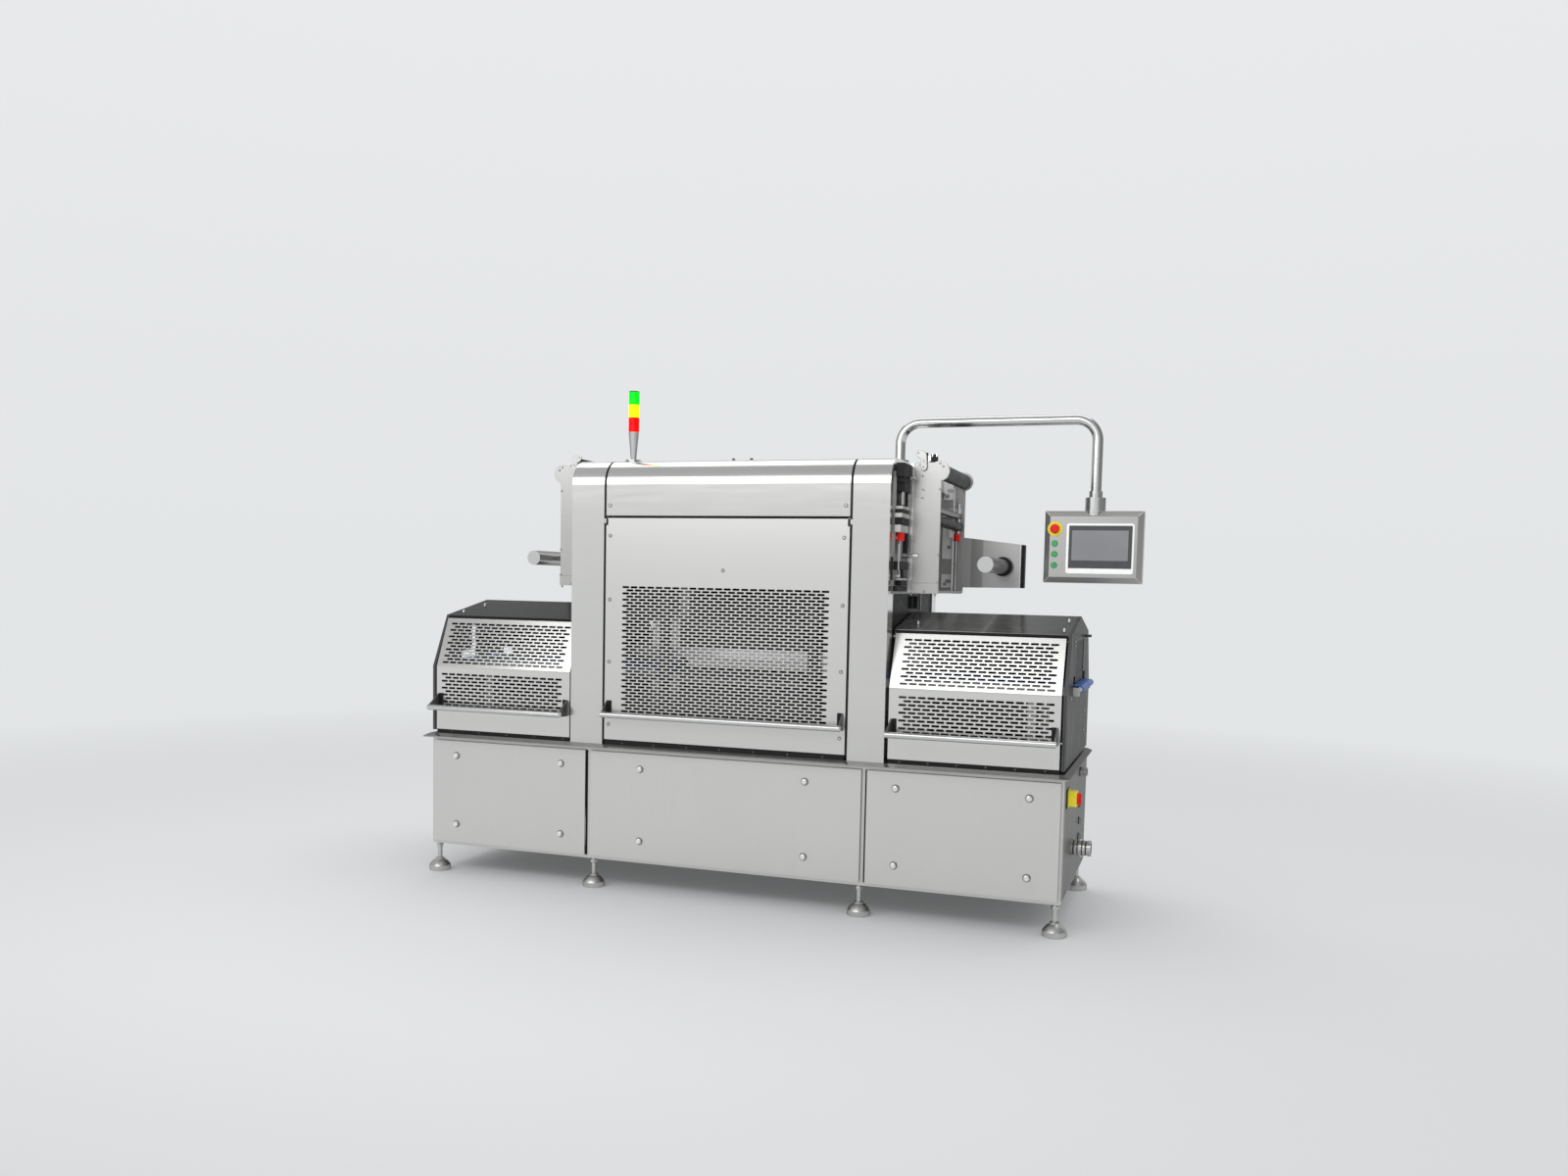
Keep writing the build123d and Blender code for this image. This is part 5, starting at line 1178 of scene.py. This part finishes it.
class SEALER_OT_studio(bpy.types.Operator):
    """Set up the floor, the room, the softboxes and the camera"""
    bl_idname = "sealer.studio"
    bl_label = "Studio"

    def room(self, scene, studio):
        """A plain background for the camera, even light, and a room with dark sides for reflections."""
        scene.world = bpy.data.worlds.new("Studio")
        scene.world.use_nodes = True
        tree = scene.world.node_tree
        path = node(tree, "LightPath").outputs
        way = node(tree, "SeparateXYZ", {"Vector": node(tree, "TexCoord").outputs["Generated"]}).outputs
        tone = ramped(tree, way["Z"], (
            (0.0, studio.backdrop), (0.42, studio.upper), (0.5, studio.upper), (0.57, shaded(studio.upper, 0.6)),
            (1.0, studio.overhead)))
        sides = calculated(
            tree, "MAXIMUM", ranged(tree, way["X"], 0.0, 0.85, 0.4, 0.75),
            ranged(tree, way["X"], 0.0, 0.5, -0.66, -0.92))
        mirrored = calculated(tree, "MAXIMUM", path["Is Glossy Ray"], path["Is Transmission Ray"])
        lit = tinted(tree, path["Is Camera Ray"], (studio.ambient,) * 3, tone)
        feed(tree, tree.nodes["Background"], {
            "Color": tinted(tree, mirrored, lit, tinted(tree, sides, tone, studio.side))})

    def floor(self, scene, studio):
        """A round plain floor that fades into the background for the camera and keeps the shadow."""
        mesh = bpy.data.meshes.new("Floor")
        ground = bmesh.new()
        bmesh.ops.create_circle(ground, cap_ends=True, segments=96, radius=60.0)
        bmesh.ops.translate(ground, vec=(x_mid * MM, y_mid * MM, 0), verts=ground.verts)
        ground.to_mesh(mesh)
        ground.free()
        floor = bpy.data.objects.new("Floor", mesh)
        scene.collection.objects.link(floor)
        finish, tree, shader, source = new_finish("Pale floor")
        mesh.materials.append(finish)
        feed(tree, shader, {"Base Color": (*studio.floor, 1.0), "Roughness": 0.9, "Specular IOR Level": 0.0})
        centred = node(tree, "Mapping", {"Vector": source, "Location": (-x_mid * MM, -y_mid * MM, 0)})
        reach = node(tree, "VectorMath", {0: centred.outputs["Vector"]}, operation="LENGTH").outputs["Value"]
        path = node(tree, "LightPath").outputs
        seen = calculated(tree, "MAXIMUM", path["Is Camera Ray"], path["Is Glossy Ray"])
        far = ranged(tree, reach, 0.0, 1.0, 2.5, 9.0)
        share = calculated(tree, "MULTIPLY", ranged(tree, far, 0.12, 1.0, 0.0, 1.0), seen)
        glow = node(tree, "Emission", {"Color": tinted(tree, far, studio.floor, studio.backdrop)})
        blend = node(tree, "MixShader", {
            "Fac": share, 1: shader.outputs["BSDF"], 2: glow.outputs["Emission"]})
        feed(tree, tree.nodes["Material Output"], {"Surface": blend.outputs["Shader"]})

    def camera(self, scene, studio):
        """The camera at the photograph's place, angle and lens."""
        lens = bpy.data.cameras.new("Camera")
        lens.sensor_width = 36.0
        lens.lens = studio.focal_length
        lens.shift_x, lens.shift_y = -0.002, 0.0541
        lens.clip_end = 200.0
        camera = bpy.data.objects.new("Camera", lens)
        eye = (3.7371, -5.4581, 1.51865)
        yaw, pitch, roll = (math.radians(angle) for angle in (18.74, 4.1, 1.23))
        ahead = Vector((-math.sin(yaw) * math.cos(pitch), math.cos(yaw) * math.cos(pitch), -math.sin(pitch)))
        level = Vector((math.cos(yaw), math.sin(yaw), 0))
        upright = level.cross(ahead)
        right = level * math.cos(roll) + upright * math.sin(roll)
        up = upright * math.cos(roll) - level * math.sin(roll)
        turn = Matrix((right, up, -ahead)).transposed().to_4x4()
        camera.matrix_world = Matrix.Translation(eye) @ turn
        scene.collection.objects.link(camera)
        scene.camera = camera

    def execute(self, context):
        scene = context.scene
        studio = scene.sealer_studio
        self.room(scene, studio)
        self.floor(scene, studio)
        directed("Front softbox", (0.55, -3.2, 3.35), (0.65, 0.3, 2.4), 4.9, 1.75, studio.front_power)
        directed("Top softbox", (1.6, 2.0, 6.2), (1.6, 0.4, 1.8), 7.0, 3.2, studio.top_power)
        self.camera(scene, studio)
        scene.view_settings.view_transform = "Standard"
        return {"FINISHED"}


# ---------------------------------------------------------------- add-on

class SEALER_PT_pieces(bpy.types.Panel):
    """Lists the machine's pieces and settings"""
    bl_idname = "SEALER_PT_pieces"
    bl_label = "Tray sealer"
    bl_space_type = "VIEW_3D"
    bl_region_type = "UI"
    bl_category = "Tray sealer"

    def draw(self, context):
        layout = self.layout
        for group in SETTINGS:
            box = layout.box()
            settings = getattr(context.scene, group)
            for name in settings.__annotations__:
                box.prop(settings, name)
        for operator in PIECES:
            layout.operator(operator.bl_idname)


PIECES = (
    SEALER_OT_finishes, SEALER_OT_guards, SEALER_OT_handles, SEALER_OT_seams, SEALER_OT_inside,
    SEALER_OT_cabinet, SEALER_OT_screws, SEALER_OT_film_units, SEALER_OT_signals, SEALER_OT_studio,
)
SETTINGS = {
    "sealer_guards": SealerGuardSettings,
    "sealer_finishes": SealerFinishSettings,
    "sealer_studio": SealerStudioSettings,
}


def register():
    for name, group in SETTINGS.items():
        bpy.utils.register_class(group)
        setattr(bpy.types.Scene, name, PointerProperty(type=group))
    for item in PIECES + (SEALER_PT_pieces,):
        bpy.utils.register_class(item)


def unregister():
    for item in reversed(PIECES + (SEALER_PT_pieces,)):
        bpy.utils.unregister_class(item)
    for name, group in SETTINGS.items():
        delattr(bpy.types.Scene, name)
        bpy.utils.unregister_class(group)


def main():
    register()
    bpy.ops.sealer.finishes()
    bpy.ops.sealer.guards()
    bpy.ops.sealer.handles()
    bpy.ops.sealer.seams()
    bpy.ops.sealer.inside()
    bpy.ops.sealer.cabinet()
    bpy.ops.sealer.screws()
    bpy.ops.sealer.film_units()
    bpy.ops.sealer.signals()
    bpy.ops.sealer.studio()


if __name__ == "__main__":
    main()
